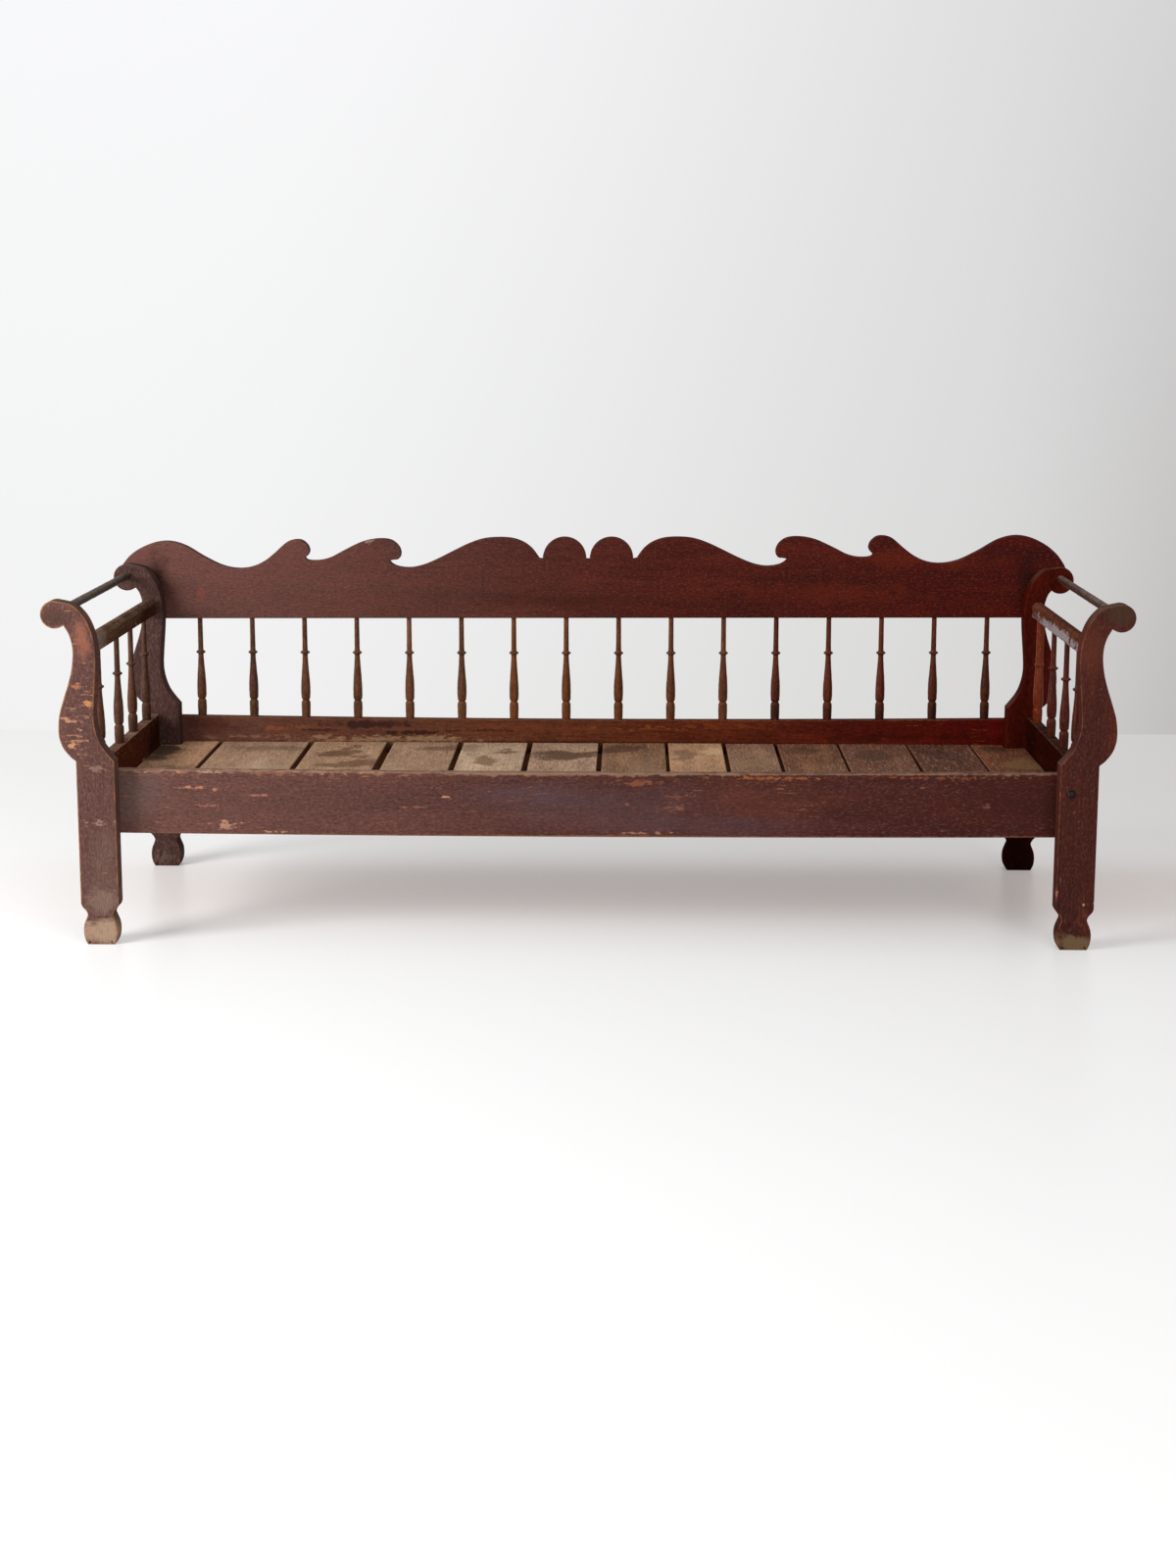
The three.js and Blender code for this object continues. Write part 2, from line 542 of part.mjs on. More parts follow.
// Fasteners
function addScrew(name, place) {
  add(name, screwGeometry(place), darkIron, place.x, place.y, place.z);
}
addScrew("front_rail_screw", frontRailScrew);
backRailScrews.forEach((place, i) => addScrew(`back_rail_screw_${i + 1}`, place));
crestScrews.forEach((place, i) => addScrew(`crest_screw_${i + 1}`, place));

const washerFront = frontRailBack + FIT;
const nutFront = washerFront + WASHER_THICKNESS + FIT;
const boltBack = nutFront + NUT_THICKNESS + BOLT_END;
const dome = arc(0, 0, 1, -0.25, 0, 4).map((p) => [p.y * BOLT_HEAD_HEIGHT - FIT, p.x * BOLT_HEAD_RADIUS]);
const boltProfile = [
  [-BOLT_HEAD_HEIGHT - FIT, 0], ...dome.slice(1), [-FIT, BOLT_RADIUS], [boltBack, BOLT_RADIUS],
  [boltBack, 0],
];
add("rail_bolt", turned(boltProfile, 12).rotateX(-Math.PI / 2), darkIron, lapCentre, 0, boltZ);

function ring(front, thickness, outerRadius, sides) {
  const solid = drill(outerRadius, front, front + thickness, sides);
  const bore = drill(BOLT_RADIUS + FIT, front - OVERRUN, front + thickness + OVERRUN, 12);
  return cut(solid.rotateX(-Math.PI / 2), [bore.rotateX(-Math.PI / 2)]);
}

add("bolt_washer", ring(washerFront, WASHER_THICKNESS, WASHER_RADIUS, 16), darkIron, lapCentre, 0, boltZ);
add("bolt_nut", ring(nutFront, NUT_THICKNESS, NUT_RADIUS, 6), darkIron, lapCentre, 0, boltZ);

// The origin is on the floor, at the middle of the space that the bench takes up.
const benchFront = -BOLT_HEAD_HEIGHT - FIT;
bench.position.y = -(benchFront + benchBack) / 2;

export default bench;
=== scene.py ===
import math

import bmesh
import bpy
import numpy as np
from mathutils import Matrix, Vector


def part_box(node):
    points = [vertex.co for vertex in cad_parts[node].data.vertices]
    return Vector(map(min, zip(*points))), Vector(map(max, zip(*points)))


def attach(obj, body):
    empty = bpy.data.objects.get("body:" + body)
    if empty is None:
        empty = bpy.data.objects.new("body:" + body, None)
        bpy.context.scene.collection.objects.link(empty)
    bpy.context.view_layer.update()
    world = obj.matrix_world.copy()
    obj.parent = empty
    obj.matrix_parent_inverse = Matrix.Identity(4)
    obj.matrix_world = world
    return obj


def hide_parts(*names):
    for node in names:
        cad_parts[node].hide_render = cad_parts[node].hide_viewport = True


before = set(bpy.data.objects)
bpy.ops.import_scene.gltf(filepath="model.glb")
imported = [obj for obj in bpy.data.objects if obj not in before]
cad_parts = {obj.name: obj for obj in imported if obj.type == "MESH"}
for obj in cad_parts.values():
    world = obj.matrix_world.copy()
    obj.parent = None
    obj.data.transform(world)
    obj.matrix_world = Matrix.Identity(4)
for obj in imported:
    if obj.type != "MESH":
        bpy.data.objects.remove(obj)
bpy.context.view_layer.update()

scene = bpy.context.scene
scene.view_settings.view_transform = "Standard"

# Camera. It stands a little to the right of the middle, 1.1 m above the floor and 4.7 m in front of the
# bench, looks slightly down and is level to a tenth of a degree.
EYE = Vector((0.0794, -4.6764, 1.1094))
TURN, DIP, LEAN = -0.01748, -0.18648, 0.00163
FILM_HEIGHT = 24.0
PICTURE_HEIGHT, FOCUS_IN_PIXELS = 1600, 2587.3

ahead = Vector((math.sin(TURN) * math.cos(DIP), math.cos(TURN) * math.cos(DIP), math.sin(DIP)))
level = Vector((math.cos(TURN), -math.sin(TURN), 0))
upward = level.cross(ahead)
across = math.cos(LEAN) * level + math.sin(LEAN) * upward
overhead = math.cos(LEAN) * upward - math.sin(LEAN) * level
film = bpy.data.cameras.new("camera")
film.sensor_fit = "VERTICAL"
film.sensor_height = FILM_HEIGHT
film.lens = FILM_HEIGHT * FOCUS_IN_PIXELS / PICTURE_HEIGHT
camera = bpy.data.objects.new("camera", film)
camera.matrix_world = (
    Matrix.Translation(EYE) @ Matrix((across, overhead, -ahead)).transposed().to_4x4()
)
scene.collection.objects.link(camera)
scene.camera = camera

# Light. A pale room lights the bench from all round, a large window from the left and the front, and a
# weaker soft lamp from the right. The lamps are large, so that the shadows stay soft.
ROOM_LIGHT = 0.46
LAMPS = {  # place, target, size and power
    "window": ((-3.3, -2.3, 1.7), (-0.2, 0.0, 0.3), 1.8, 190.0),
    "soft_lamp": ((1.8, -4.6, 2.3), (0.2, 0.0, 0.2), 2.6, 95.0),
}


def tint(code):
    """The linear colour of a code such as "5a2b1f", which gives red, green and blue in screen values."""
    screen = np.array([int(code[i:i + 2], 16) for i in (0, 2, 4)]) / 255
    linear = np.where(screen > 0.04045, ((screen + 0.055) / 1.055) ** 2.4, screen / 12.92)
    return (*linear.tolist(), 1.0)


class Shading:
    """Adds nodes to a shader tree. Each step gives back the output that holds its result, and takes
    numbers, outputs of other steps and the codes of colours."""

    def __init__(self, tree):
        self.tree = tree
        tree.nodes.clear()

    def node(self, kind, feeds=None, **settings):
        """Adds any node. feeds gives each input its value, or the output that feeds it."""
        made = self.tree.nodes.new("ShaderNode" + kind)
        for setting, value in settings.items():
            setattr(made, setting, value)
        for socket, value in (feeds or {}).items():
            if isinstance(value, bpy.types.NodeSocket):
                self.tree.links.new(value, made.inputs[socket])
            else:
                made.inputs[socket].default_value = tint(value) if isinstance(value, str) else value
        return made.outputs

    def use(self, group, **feeds):
        return self.node("Group", feeds, node_tree=group)

    def gives(self, **results):
        """Ends a node group with its named results, and gives back the group."""
        for socket in results:
            self.tree.interface.new_socket(socket, in_out="OUTPUT", socket_type="NodeSocketFloat")
        end = self.tree.nodes.new("NodeGroupOutput")
        for socket, result in results.items():
            self.tree.links.new(result, end.inputs[socket])
        return self.tree

    def reckon(self, operation, first, second=0.0, clamp=False):
        """One sum on two numbers."""
        return self.node("Math", {0: first, 1: second}, operation=operation, use_clamp=clamp)[0]

    def plus(self, first, *others, clamp=False):
        for other in others:
            first = self.reckon("ADD", first, other, clamp)
        return first

    def minus(self, first, second):
        return self.reckon("SUBTRACT", first, second)

    def times(self, first, *others):
        for other in others:
            first = self.reckon("MULTIPLY", first, other)
        return first

    def vector(self, operation, first, second):
        """One sum on two places."""
        return self.node("VectorMath", {0: first, 1: second}, operation=operation)[0]

    def place(self):
        return self.node("TexCoord")["Object"]

    def parts(self, place):
        return self.node("SeparateXYZ", {0: place})

    def facing(self):
        """The X, Y and Z of the direction in which the surface faces."""
        return self.parts(self.node("NewGeometry")["Normal"])

    def eased(self, value, low, high, start=0.0, end=1.0):
        """Goes smoothly from start to end while value goes from low to high."""
        return self.node("MapRange", {"Value": value, "From Min": low, "From Max": high, "To Min": start,
                                      "To Max": end}, interpolation_type="SMOOTHSTEP")[0]

    def layered(self, under, over, share, strength=None, how="MIX"):
        """Lays the colour over on the colour under, by the share from 0 to 1 times the strength."""
        if strength is not None:
            share = self.times(share, strength)
        return self.node("Mix", {0: share, 6: under, 7: over}, data_type="RGBA", blend_type=how,
                         clamp_factor=True)[2]

    def noise(self, place, scale, detail, roughness=0.5):
        """Cloudy noise, the same in all directions."""
        feeds = {} if place is None else {"Vector": place}
        return self.node("TexNoise", {**feeds, "Scale": scale, "Detail": detail, "Roughness": roughness})[0]

    def drawn_out(self, place, stretch, detail, roughness=0.55, distortion=0.0):
        """Noise drawn out along the grain, which is the first of the three directions."""
        scaled = self.vector("MULTIPLY", place, stretch)
        return self.node("TexNoise", {"Vector": scaled, "Scale": 1.0, "Detail": detail,
                                      "Roughness": roughness, "Distortion": distortion})[0]

    def between(self, first, second, share):
        return self.node("MixShader", {0: share, 1: first, 2: second})[0]

    def surfaced(self, colour, rough, height, strength, depth, **more):
        """Ends a material with one shader on a finely uneven surface."""
        normal = self.node("Bump", {"Height": height, "Strength": strength, "Distance": depth})[0]
        shader = self.node("BsdfPrincipled", {"Base Color": colour, "Roughness": rough, "Normal": normal,
                                              **{name.replace("_", " "): v for name, v in more.items()}})[0]
        self.node("OutputMaterial", {"Surface": shader})


room = bpy.data.worlds.new("room")
scene.world = room
room.use_nodes = True
air = Shading(room.node_tree)
room_glow = air.node("Background", {"Color": "fbfaf8", "Strength": ROOM_LIGHT})[0]
room_seen = air.node("Background", {"Color": "e9e9ea", "Strength": 1.0})[0]
is_camera_ray = air.node("LightPath")["Is Camera Ray"]
air.node("OutputWorld", {"Surface": air.between(room_glow, room_seen, is_camera_ray)})

for lamp_name, (place, target, size, power) in LAMPS.items():
    lamp = bpy.data.lights.new(lamp_name, "AREA")
    lamp.shape, lamp.size, lamp.energy = "SQUARE", size, power
    lamp_holder = bpy.data.objects.new(lamp_name, lamp)
    lamp_holder.location = place
    aim = Vector(target) - Vector(place)
    lamp_holder.rotation_euler = aim.to_track_quat("-Z", "Y").to_euler()
    scene.collection.objects.link(lamp_holder)

# Floor and wall. One plain white sheet: a painted floor with a soft gloss, and a wall 2 m behind the
# bench. Both hold painted shade: they grow greyer to the right, away from the window, and the wall
# grows greyer lower down.
SHEET_REACH = 14.0
FLOOR_FRONT, WALL_FACE, WALL_TOP = -12.0, 1.98, 9.0
FLOOR_PLACES = (-1.5, 1.0)
WALL_BEND = 0.05


def faces_between(rows, count, closed=True):
    """The faces between the rows of a grid. A closed row joins its last point to its first."""
    row, point = np.arange(rows - 1)[:, None] * count, np.arange(count if closed else count - 1)
    first, after = (row + point).ravel(), (row + (point + 1) % count).ravel()
    return np.stack([first, after, after + count, first + count], -1).tolist()


def made_of(name, grid, faces):
    """An object from a grid of points, shaded smooth."""
    mesh = bpy.data.meshes.new(name)
    mesh.from_pydata(grid.reshape(-1, 3).tolist(), [], faces)
    mesh.polygons.foreach_set("use_smooth", np.ones(len(mesh.polygons), bool))
    made = bpy.data.objects.new(name, mesh)
    scene.collection.objects.link(made)
    return made


def swept(name, profile, stations):
    """A ruled sheet: each profile point (a, b) is carried straight along X through the stations."""
    a, b = np.asarray(profile, float).T[:, :, None]
    grid = np.stack(np.broadcast_arrays(np.asarray(stations, float)[None], a, b), -1)
    return made_of(name, grid, faces_between(*grid.shape[:2], closed=False))


def blank_material(name):
    """A new material, and its empty shading."""
    material = bpy.data.materials.new(name)
    material.use_nodes = True
    return material, Shading(material.node_tree)


bend = np.linspace(0, math.pi / 2, 7)
sheet_profile = np.vstack([
    [[y, 0] for y in (FLOOR_FRONT, *FLOOR_PLACES)],
    np.stack([WALL_FACE - WALL_BEND + WALL_BEND * np.sin(bend), WALL_BEND * (1 - np.cos(bend))], -1),
    [[WALL_FACE, WALL_TOP]],
])
white_sheet = swept("white_sheet", sheet_profile, np.linspace(-SHEET_REACH, SHEET_REACH, 9))
white_paint, paint = blank_material("white_paint")
paint_x, paint_y, paint_z = paint.parts(paint.place())

# Painted shade on the wall: greyer to the right and lower down.
wall_low = paint.layered("f2f3f2", "d6d5d4", paint.eased(paint_x, -1.4, 1.5))
wall_low = paint.layered(wall_low, "b4b2b0", paint.eased(paint_x, 0.95, 1.85))
wall_high = paint.layered("fbfbfd", "cfcecf", paint.eased(paint_x, -1.0, 2.4))
higher = paint.node("MapRange", {"Value": paint_z, "From Min": 0.0, "From Max": 2.2})[0]
wall_tone = paint.layered(wall_low, wall_high, higher)
wall_tone = paint.layered(wall_tone, "d8d8da", paint.noise(None, 1.3, 3.0), 0.05)

# Painted shade on the floor: greyer to the right, most of all at the back.
floor_far = paint.layered("fefefd", "e4e2e0", paint.eased(paint_x, -1.6, 2.6))
floor_near = paint.layered("fbfbfb", "f1f0f0", paint.eased(paint_x, -1.0, 2.2))
floor_tone = paint.layered(floor_far, floor_near, paint.eased(paint_y, 1.95, -0.9))
# Under the bench the floor is tinted pink: painted light, standing in for the light that the wood throws back
# into its shadow.
painted_bounce_area = paint.times(paint.eased(paint_y, 0.5, 0.2), paint.eased(paint_y, -0.4, 0.05),
                          paint.eased(paint_x, -1.5, -0.4), paint.eased(paint_x, 1.9, 1.0))
floor_tone = paint.layered(floor_tone, "fff7f4", painted_bounce_area, how="MULTIPLY")
floor_specks = paint.eased(paint.noise(None, 55.0, 1.0), 0.80, 0.83, 0.0, 0.35)
floor_tone = paint.layered(floor_tone, "8d8a86", floor_specks)

# The wall shows its own tone and throws no light. The floor is lit, and lightened towards the camera.
ray = paint.node("LightPath")
seen = paint.reckon("MAXIMUM", ray["Is Camera Ray"], ray["Is Glossy Ray"])
seen = paint.reckon("MAXIMUM", seen, ray["Is Transmission Ray"])
from_front = paint.minus(1.0, paint.node("NewGeometry")["Backfacing"])
wall_glow = paint.node("Emission", {"Color": wall_tone, "Strength": 1.0})[0]
wall_shown = paint.between(paint.node("BsdfTransparent")[0], wall_glow, paint.times(seen, from_front))
floor_paint = paint.node("BsdfPrincipled", {
    "Base Color": floor_tone, "Roughness": 0.33, "Specular IOR Level": 0.25})[0]
floor_glow = paint.node("Emission", {"Color": floor_tone, "Strength": 1.0})[0]
# In front of the bench the floor is lightened as a plain backdrop; behind it, the lightening is painted light in
# the back of the bench's shadow.
floor_pale = paint.plus(paint.eased(paint_y, -0.1, -0.55, 0.25, 0.5), paint.eased(paint_y, 0.2, 0.5, 0, 0.14))
floor_shown = paint.between(floor_paint, floor_glow, paint.times(ray["Is Camera Ray"], floor_pale))
is_wall = paint.eased(paint_z, 0.0001, 0.002)
paint.node("OutputMaterial", {"Surface": paint.between(floor_shown, wall_shown, is_wall)})
white_sheet.data.materials.append(white_paint)

# Posts. Four boards 38 mm thick, sawn to a lyre scroll with a round head and a small foot, stained and
# varnished. The side rails and arm rails are tenoned into them. The front ones are worn bare in places.
FIT = 0.0003  # left between two pieces that touch
POST_FRONT, BACK_POST_FRONT = -0.348, 0.292
POST_THICKNESS = 0.038
LEG_CENTRE, LEG_HALF = 0.855, 0.0335
LEG_HEIGHT, FOOT_HEIGHT = 0.328, 0.073
SCROLL_REACH, HEAD_REACH, HEAD_HEIGHT, HEAD_RADIUS = 0.062, 0.0625, 0.5845, 0.024
BACK_HEAD_HEIGHT, BACK_HEAD_RADIUS = 0.5815, 0.026
FOOT_SHARES = [
    (0.7, 0), (0.84, 0.13), (0.9, 0.31), (0.86, 0.49), (0.73, 0.65), (0.67, 0.74), (0.75, 0.83),
    (0.92, 0.92), (1, 1),
]
OUTER_EDGE_SHARES = [
    (0.71, 0.035), (0.89, 0.093), (0.985, 0.162), (1, 0.232), (0.96, 0.317), (0.88, 0.386),
    (0.775, 0.463), (0.66, 0.548), (0.57, 0.637), (0.525, 0.734), (0.55, 0.811), (0.63, 0.873),
]
INNER_EDGE_SHARES = [
    (0.53, 1.068), (0.31, 1.027), (0.13, 0.969), (0, 0.896), (-0.08, 0.819), (-0.105, 0.741),
    (-0.1, 0.645), (-0.065, 0.529), (-0.024, 0.413), (0, 0.317), (-0.016, 0.247), (-0.08, 0.178),
    (-0.19, 0.112), (-0.355, 0.054),
]
HEAD_ARC_TURNS = (0.639, 1.264)


def smooth_through(points, steps=8):
    """A Catmull-Rom curve: between two points it is the cubic whose slope at each of them is half the
    step from the point before to the point after."""
    p = np.asarray(points, float)
    padded = np.vstack([p[:1], p, p[-1:]])
    a, b, c, d = (padded[i:i + len(p) - 1, None, :] for i in range(4))
    t = np.linspace(0, 1, steps, endpoint=False)[None, :, None]
    start, end = (c - a) / 2, (d - b) / 2
    curve = (2 * b - 2 * c + start + end) * t**3 + (3 * c - 3 * b - 2 * start - end) * t**2 + start * t + b
    return np.vstack([curve.reshape(-1, p.shape[1]), p[-1:]])


def arc(x, z, radius, turns, steps):
    """Points of a circle about (x, z), between two angles given in turns."""
    angle = 2 * math.pi * np.linspace(turns[0], turns[1], steps + 1)
    return np.stack([x + radius * np.cos(angle), z + radius * np.sin(angle)], -1)


def uneven(along, seed, length=0.05):
    """A smooth hand-made irregularity between -1 and 1: the mean of five sine waves, each about 1.7
    times as short as the one before."""
    wave = np.arange(5)[:, None]
    phase = 2.4 * wave + 1.9 * seed
    return np.sin(2 * math.pi * 1.7**wave * np.ravel(along)[None] / length + phase).mean(0)


def divided(corners, step):
    """Adds points along the sides of a closed outline, at most a step apart."""
    sides = np.roll(corners, -1, 0) - corners
    parts = np.maximum(1, np.ceil(np.linalg.norm(sides, axis=1) / step)).astype(int)
    start = np.repeat(np.arange(len(corners)), parts)
    share = (np.arange(parts.sum()) - np.repeat(np.cumsum(parts) - parts, parts)) / parts[start]
    return corners[start] + sides[start] * share[:, None]


def skinned(name, grid, worn):
    """Closes a grid of rings with a flat cap at each end, turns the faces outwards, cuts the caps into
    even triangles, shades smooth up to 35 degrees and keeps how worn each point is as an attribute."""
    rows, count = grid.shape[:2]
    caps = [list(range(count))[::-1], list(range((rows - 1) * count, rows * count))]
    made = made_of(name, grid, faces_between(rows, count) + caps)
    worn = np.broadcast_to(worn, (rows, count)).astype(np.float32).ravel()
    made.data.attributes.new("arris", "FLOAT", "POINT").data.foreach_set("value", worn)
    work = bmesh.new()
    work.from_mesh(made.data)
    if work.calc_volume(signed=True) < 0:
        bmesh.ops.reverse_faces(work, faces=work.faces[:])
    wide = [face for face in work.faces if len(face.verts) > 4]
    bmesh.ops.triangulate(work, faces=wide, quad_method="BEAUTY", ngon_method="BEAUTY")
    work.to_mesh(made.data)
    work.free()
    made.data.set_sharp_from_angle(angle=math.radians(35))
    return made


EDGE_DEPTHS = (0.0045, 0.008)  # rows of points down each edge, past its arris
FACE_INSETS = (3.3, 2.1)  # rows of points on each face, in arrises from the edge
LEAST_FACE_INSETS = (0.006, 0.0034)
ROW_WEAR = [0, 0.1, 0.8, 1, 1, 0.8, 0.1, 0]  # how worn each row is, from the face to the middle
FINE_WAVER = 0.013


def sawn_board(name, outline, low, high, normal="Y", arris=0.0016, step=0.004, seed=1.0, wear=0.5):
    """A sawn board with eased arrises. The two parameters are the way round the outline and the way
    over the edge. A point lies on the outline, moved inwards by the inset of its row, and at the depth
    of its row, where inset and depth follow a quarter circle at each arris. The inset wavers along
    the outline, as worn wood does. The flat inside of each face closes the board."""
    corners = np.asarray(outline, float)
    following = np.roll(corners, -1, 0)
    if np.sum(corners[:, 0] * following[:, 1] - following[:, 0] * corners[:, 1]) < 0:
        corners = corners[::-1]
    lengths = np.linalg.norm(np.roll(corners, -1, 0) - corners, axis=1)
    edge = divided(corners[lengths > 1e-6], step)
    forward = np.roll(edge, -1, 0) - edge
    gaps = np.linalg.norm(forward, axis=1)
    forward /= gaps[:, None]
    travel = np.cumsum(gaps) - gaps
    inward = np.stack([-forward[:, 1], forward[:, 0]], -1)
    before = np.roll(inward, 1, 0)
    mitre = (inward + before) / np.maximum(1 + (inward * before).sum(1), 0.55)[:, None]

    turn = np.linspace(0, math.pi / 2, 4)
    half = np.vstack([
        [[max(least, share * arris), 0] for least, share in zip(LEAST_FACE_INSETS, FACE_INSETS)],
        np.stack([arris * (1 - np.sin(turn)), arris * (1 - np.cos(turn))], -1),
        [[0, depth] for depth in EDGE_DEPTHS],
    ])
    thick = high - low
    rows = np.vstack([half, [[0, thick / 2]], half[::-1] * [1, -1] + [0, thick]])
    worn = np.array([*ROW_WEAR, 0, *ROW_WEAR[::-1]])
    waver = 1 + wear * uneven(travel, seed) + wear * 0.6 * uneven(travel, seed + 5, FINE_WAVER)
    waver_back = 1 + wear * uneven(travel, seed + 9)
    front_row = (np.arange(len(rows)) < len(rows) / 2)[:, None]
    near_edge = (worn > 0.7)[:, None] & (rows[:, :1] > 0)
    inset = rows[:, :1] * np.where(near_edge, np.where(front_row, waver, waver_back), 1)
    a, b = np.moveaxis(edge[None] + mitre[None] * inset[..., None], -1, 0)
    depth = np.broadcast_to(low + rows[:, 1:2], inset.shape)
    grid = np.stack({"Y": (a, depth, b), "X": (depth, a, b), "Z": (a, b, depth)}[normal], -1)
    return skinned(name, grid, worn[:, None])


def stand_in(made, node, material):
    """Dresses a piece and puts it in the place of its solid."""
    made.data.materials.append(material)
    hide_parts(node)
    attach(made, "root")


def effect(name, **inputs):
    """An empty node group, and its inputs, which are numbers or places."""
    shade = Shading(bpy.data.node_groups.new(name, "ShaderNodeTree"))
    for socket, value in inputs.items():
        kind = "NodeSocketVector" if isinstance(value, tuple) else "NodeSocketFloat"
        shade.tree.interface.new_socket(socket, in_out="INPUT", socket_type=kind).default_value = value
    return shade, shade.tree.nodes.new("NodeGroupInput").outputs


def seeded(name):
    """A node group that takes a place along the grain and a seed, and that place moved by the seed."""
    shade, given = effect(name, Along=(0, 0, 0), Seed=0.0)
    return shade, shade.vector("ADD", given["Along"], given["Seed"])


# Wood grain: broad figure, fine fibre and open pores, all drawn out along the grain.
shade, shifted = seeded("wood_grain")
figure = shade.drawn_out(shifted, (2.2, 19, 19), 5.0, 0.6, 0.8)
fibre = shade.drawn_out(shifted, (12, 210, 210), 3.0, 0.65)
pores = shade.eased(shade.drawn_out(shifted, (55, 900, 900), 1.0), 0.56, 0.7)
height = shade.minus(shade.plus(shade.times(figure, 0.5), shade.times(fibre, 0.6)), shade.times(pores, 0.5))
grain_group = shade.gives(Figure=figure, Fibre=fibre, Pores=pores, Height=height)

# Mottle: uneven stain, in blots of a hand's width and of a few millimetres.
shade, shifted = seeded("mottle")
broad_noise = shade.drawn_out(shifted, (5, 13, 13), 4.0, 0.6)
small_noise = shade.drawn_out(shifted, (80, 210, 210), 4.0, 0.72)
mottle_group = shade.gives(Broad=shade.eased(broad_noise, 0.38, 0.66), Small=shade.eased(small_noise, 0.42, 0.66))

# Worn patch: an oval with a ragged edge, at a place on the piece, flaked off in chips that lie along
# one direction.
shade, given = effect("worn_patch", Place=(0, 0, 0), Along=(0, 0, 0), Centre=(0, 0, 0), Reach=(1, 1, 1),
                      Ragged=0.5, Grain=60.0, Flaked=0.5, Soft=0.4)
away = shade.vector("DIVIDE", shade.vector("SUBTRACT", given["Place"], given["Centre"]), given["Reach"])
distance = shade.node("VectorMath", {0: away}, operation="LENGTH")["Value"]
torn = shade.minus(shade.noise(given["Place"], given["Grain"], 4.0, 0.62), 0.5)
chips = shade.minus(shade.drawn_out(given["Along"], (70, 210, 210), 4.0, 0.66), 0.38)
patch_level = shade.plus(distance, shade.times(torn, shade.times(given["Ragged"], 4.0)),
                         shade.times(chips, shade.times(given["Flaked"], 6.0)))
patch_group = shade.gives(Mask=shade.eased(patch_level, 1.0, shade.minus(1.0, given["Soft"])))

# Rubbed arris: bare wood along the edges, broken up along its length.
shade, given = effect("rubbed_arris", Place=(0, 0, 0), Wear=0.5)
broken_up = shade.minus(shade.noise(given["Place"], 38.0, 4.0, 0.7), 0.5)
rub_level = shade.plus(shade.node("Attribute", attribute_name="arris")["Fac"], broken_up,
                       shade.minus(given["Wear"], 1.0))
rub_group = shade.gives(Mask=shade.eased(rub_level, 0.25, 0.75))

# Scuffs: small light flakes and scratches that lie along one direction.
shade, given = effect("scuffs", Along=(0, 0, 0), Amount=0.5)
scuff_fine = shade.drawn_out(given["Along"], (28, 190, 190), 3.0, 0.7)
scuff_where = shade.drawn_out(given["Along"], (6, 14, 14), 2.0)
scuff_level = shade.plus(scuff_fine, shade.times(scuff_where, 0.45), shade.times(given["Amount"], 0.12))
scuff_group = shade.gives(Mask=shade.eased(scuff_level, 0.93, 1.02))

# Speckle: pale and dark specks of 2 to 4 mm all over.
shade, shifted = seeded("speckle")
speck_noise = shade.drawn_out(shifted, (150, 330, 330), 2.0, 0.8)
speck_group = shade.gives(Pale=shade.eased(speck_noise, 0.50, 0.72), Dark=shade.eased(speck_noise, 0.50, 0.28))

# Dust: it settles on the faces that look up.
shade, given = effect("dust", Place=(0, 0, 0), Amount=0.3)
dust_fall = shade.times(shade.eased(shade.facing()["Z"], 0.25, 0.95), given["Amount"])
dust_noise = shade.noise(given["Place"], 26.0, 5.0, 0.7)
dust_group = shade.gives(Mask=shade.times(dust_fall, shade.eased(dust_noise, 0.3, 0.7)))

GRAIN_ORDER = {"X": (0, 1, 2), "Y": (1, 0, 2), "Z": (2, 0, 1)}
# The last of these colours is a painted sheen: the pale pink that stands in for the window's light on the
# varnish.
PALE_SPECK, DARK_SPECK, PORE, DUST, SHEEN_PINK = "9c8880", "160c0b", "1d0d09", "a08c7c", "8d6a63"
FLAKED_OFF = (0.35, 0.7)  # softness and chips of a patch that gives neither
SMUDGE_CHIPS = 0.08  # chips of a patch that gives only its softness


def turned_to(shade, parts, direction):
    """The place on the piece with one direction put first."""
    return shade.node("CombineXYZ", {i: parts[GRAIN_ORDER[direction][i]] for i in range(3)})[0]


def grained(shade, along, seed, blot_seed, tones, light_from, fibre_lines, broad, small):
    """Plain grain: dark, middle and light colour by figure, dark lines of fibre, and both blots."""
    wood = shade.use(grain_group, Along=along, Seed=seed)
    blots = shade.use(mottle_group, Along=along, Seed=blot_seed)
    dark, middle, light = tones
    colour = shade.layered(dark, middle, shade.eased(wood["Figure"], 0.3, 0.52))
    colour = shade.layered(colour, light, shade.eased(wood["Figure"], 0.5, light_from))
    colour = shade.layered(colour, dark, shade.eased(wood["Fibre"], *fibre_lines))
    colour = shade.layered(colour, dark, blots["Broad"], broad)
    return shade.layered(colour, light, blots["Small"], small), wood, blots


def patch_mask(shade, place, along, centre, reach, ragged, soft, chips):
    """Where one worn patch lies. The smaller it is, the finer is its ragged edge."""
    return shade.use(patch_group, Place=place, Along=along, Centre=centre, Reach=reach, Ragged=ragged,
                     Grain=1.1 / min(reach) ** 0.8, Flaked=chips, Soft=soft)["Mask"]


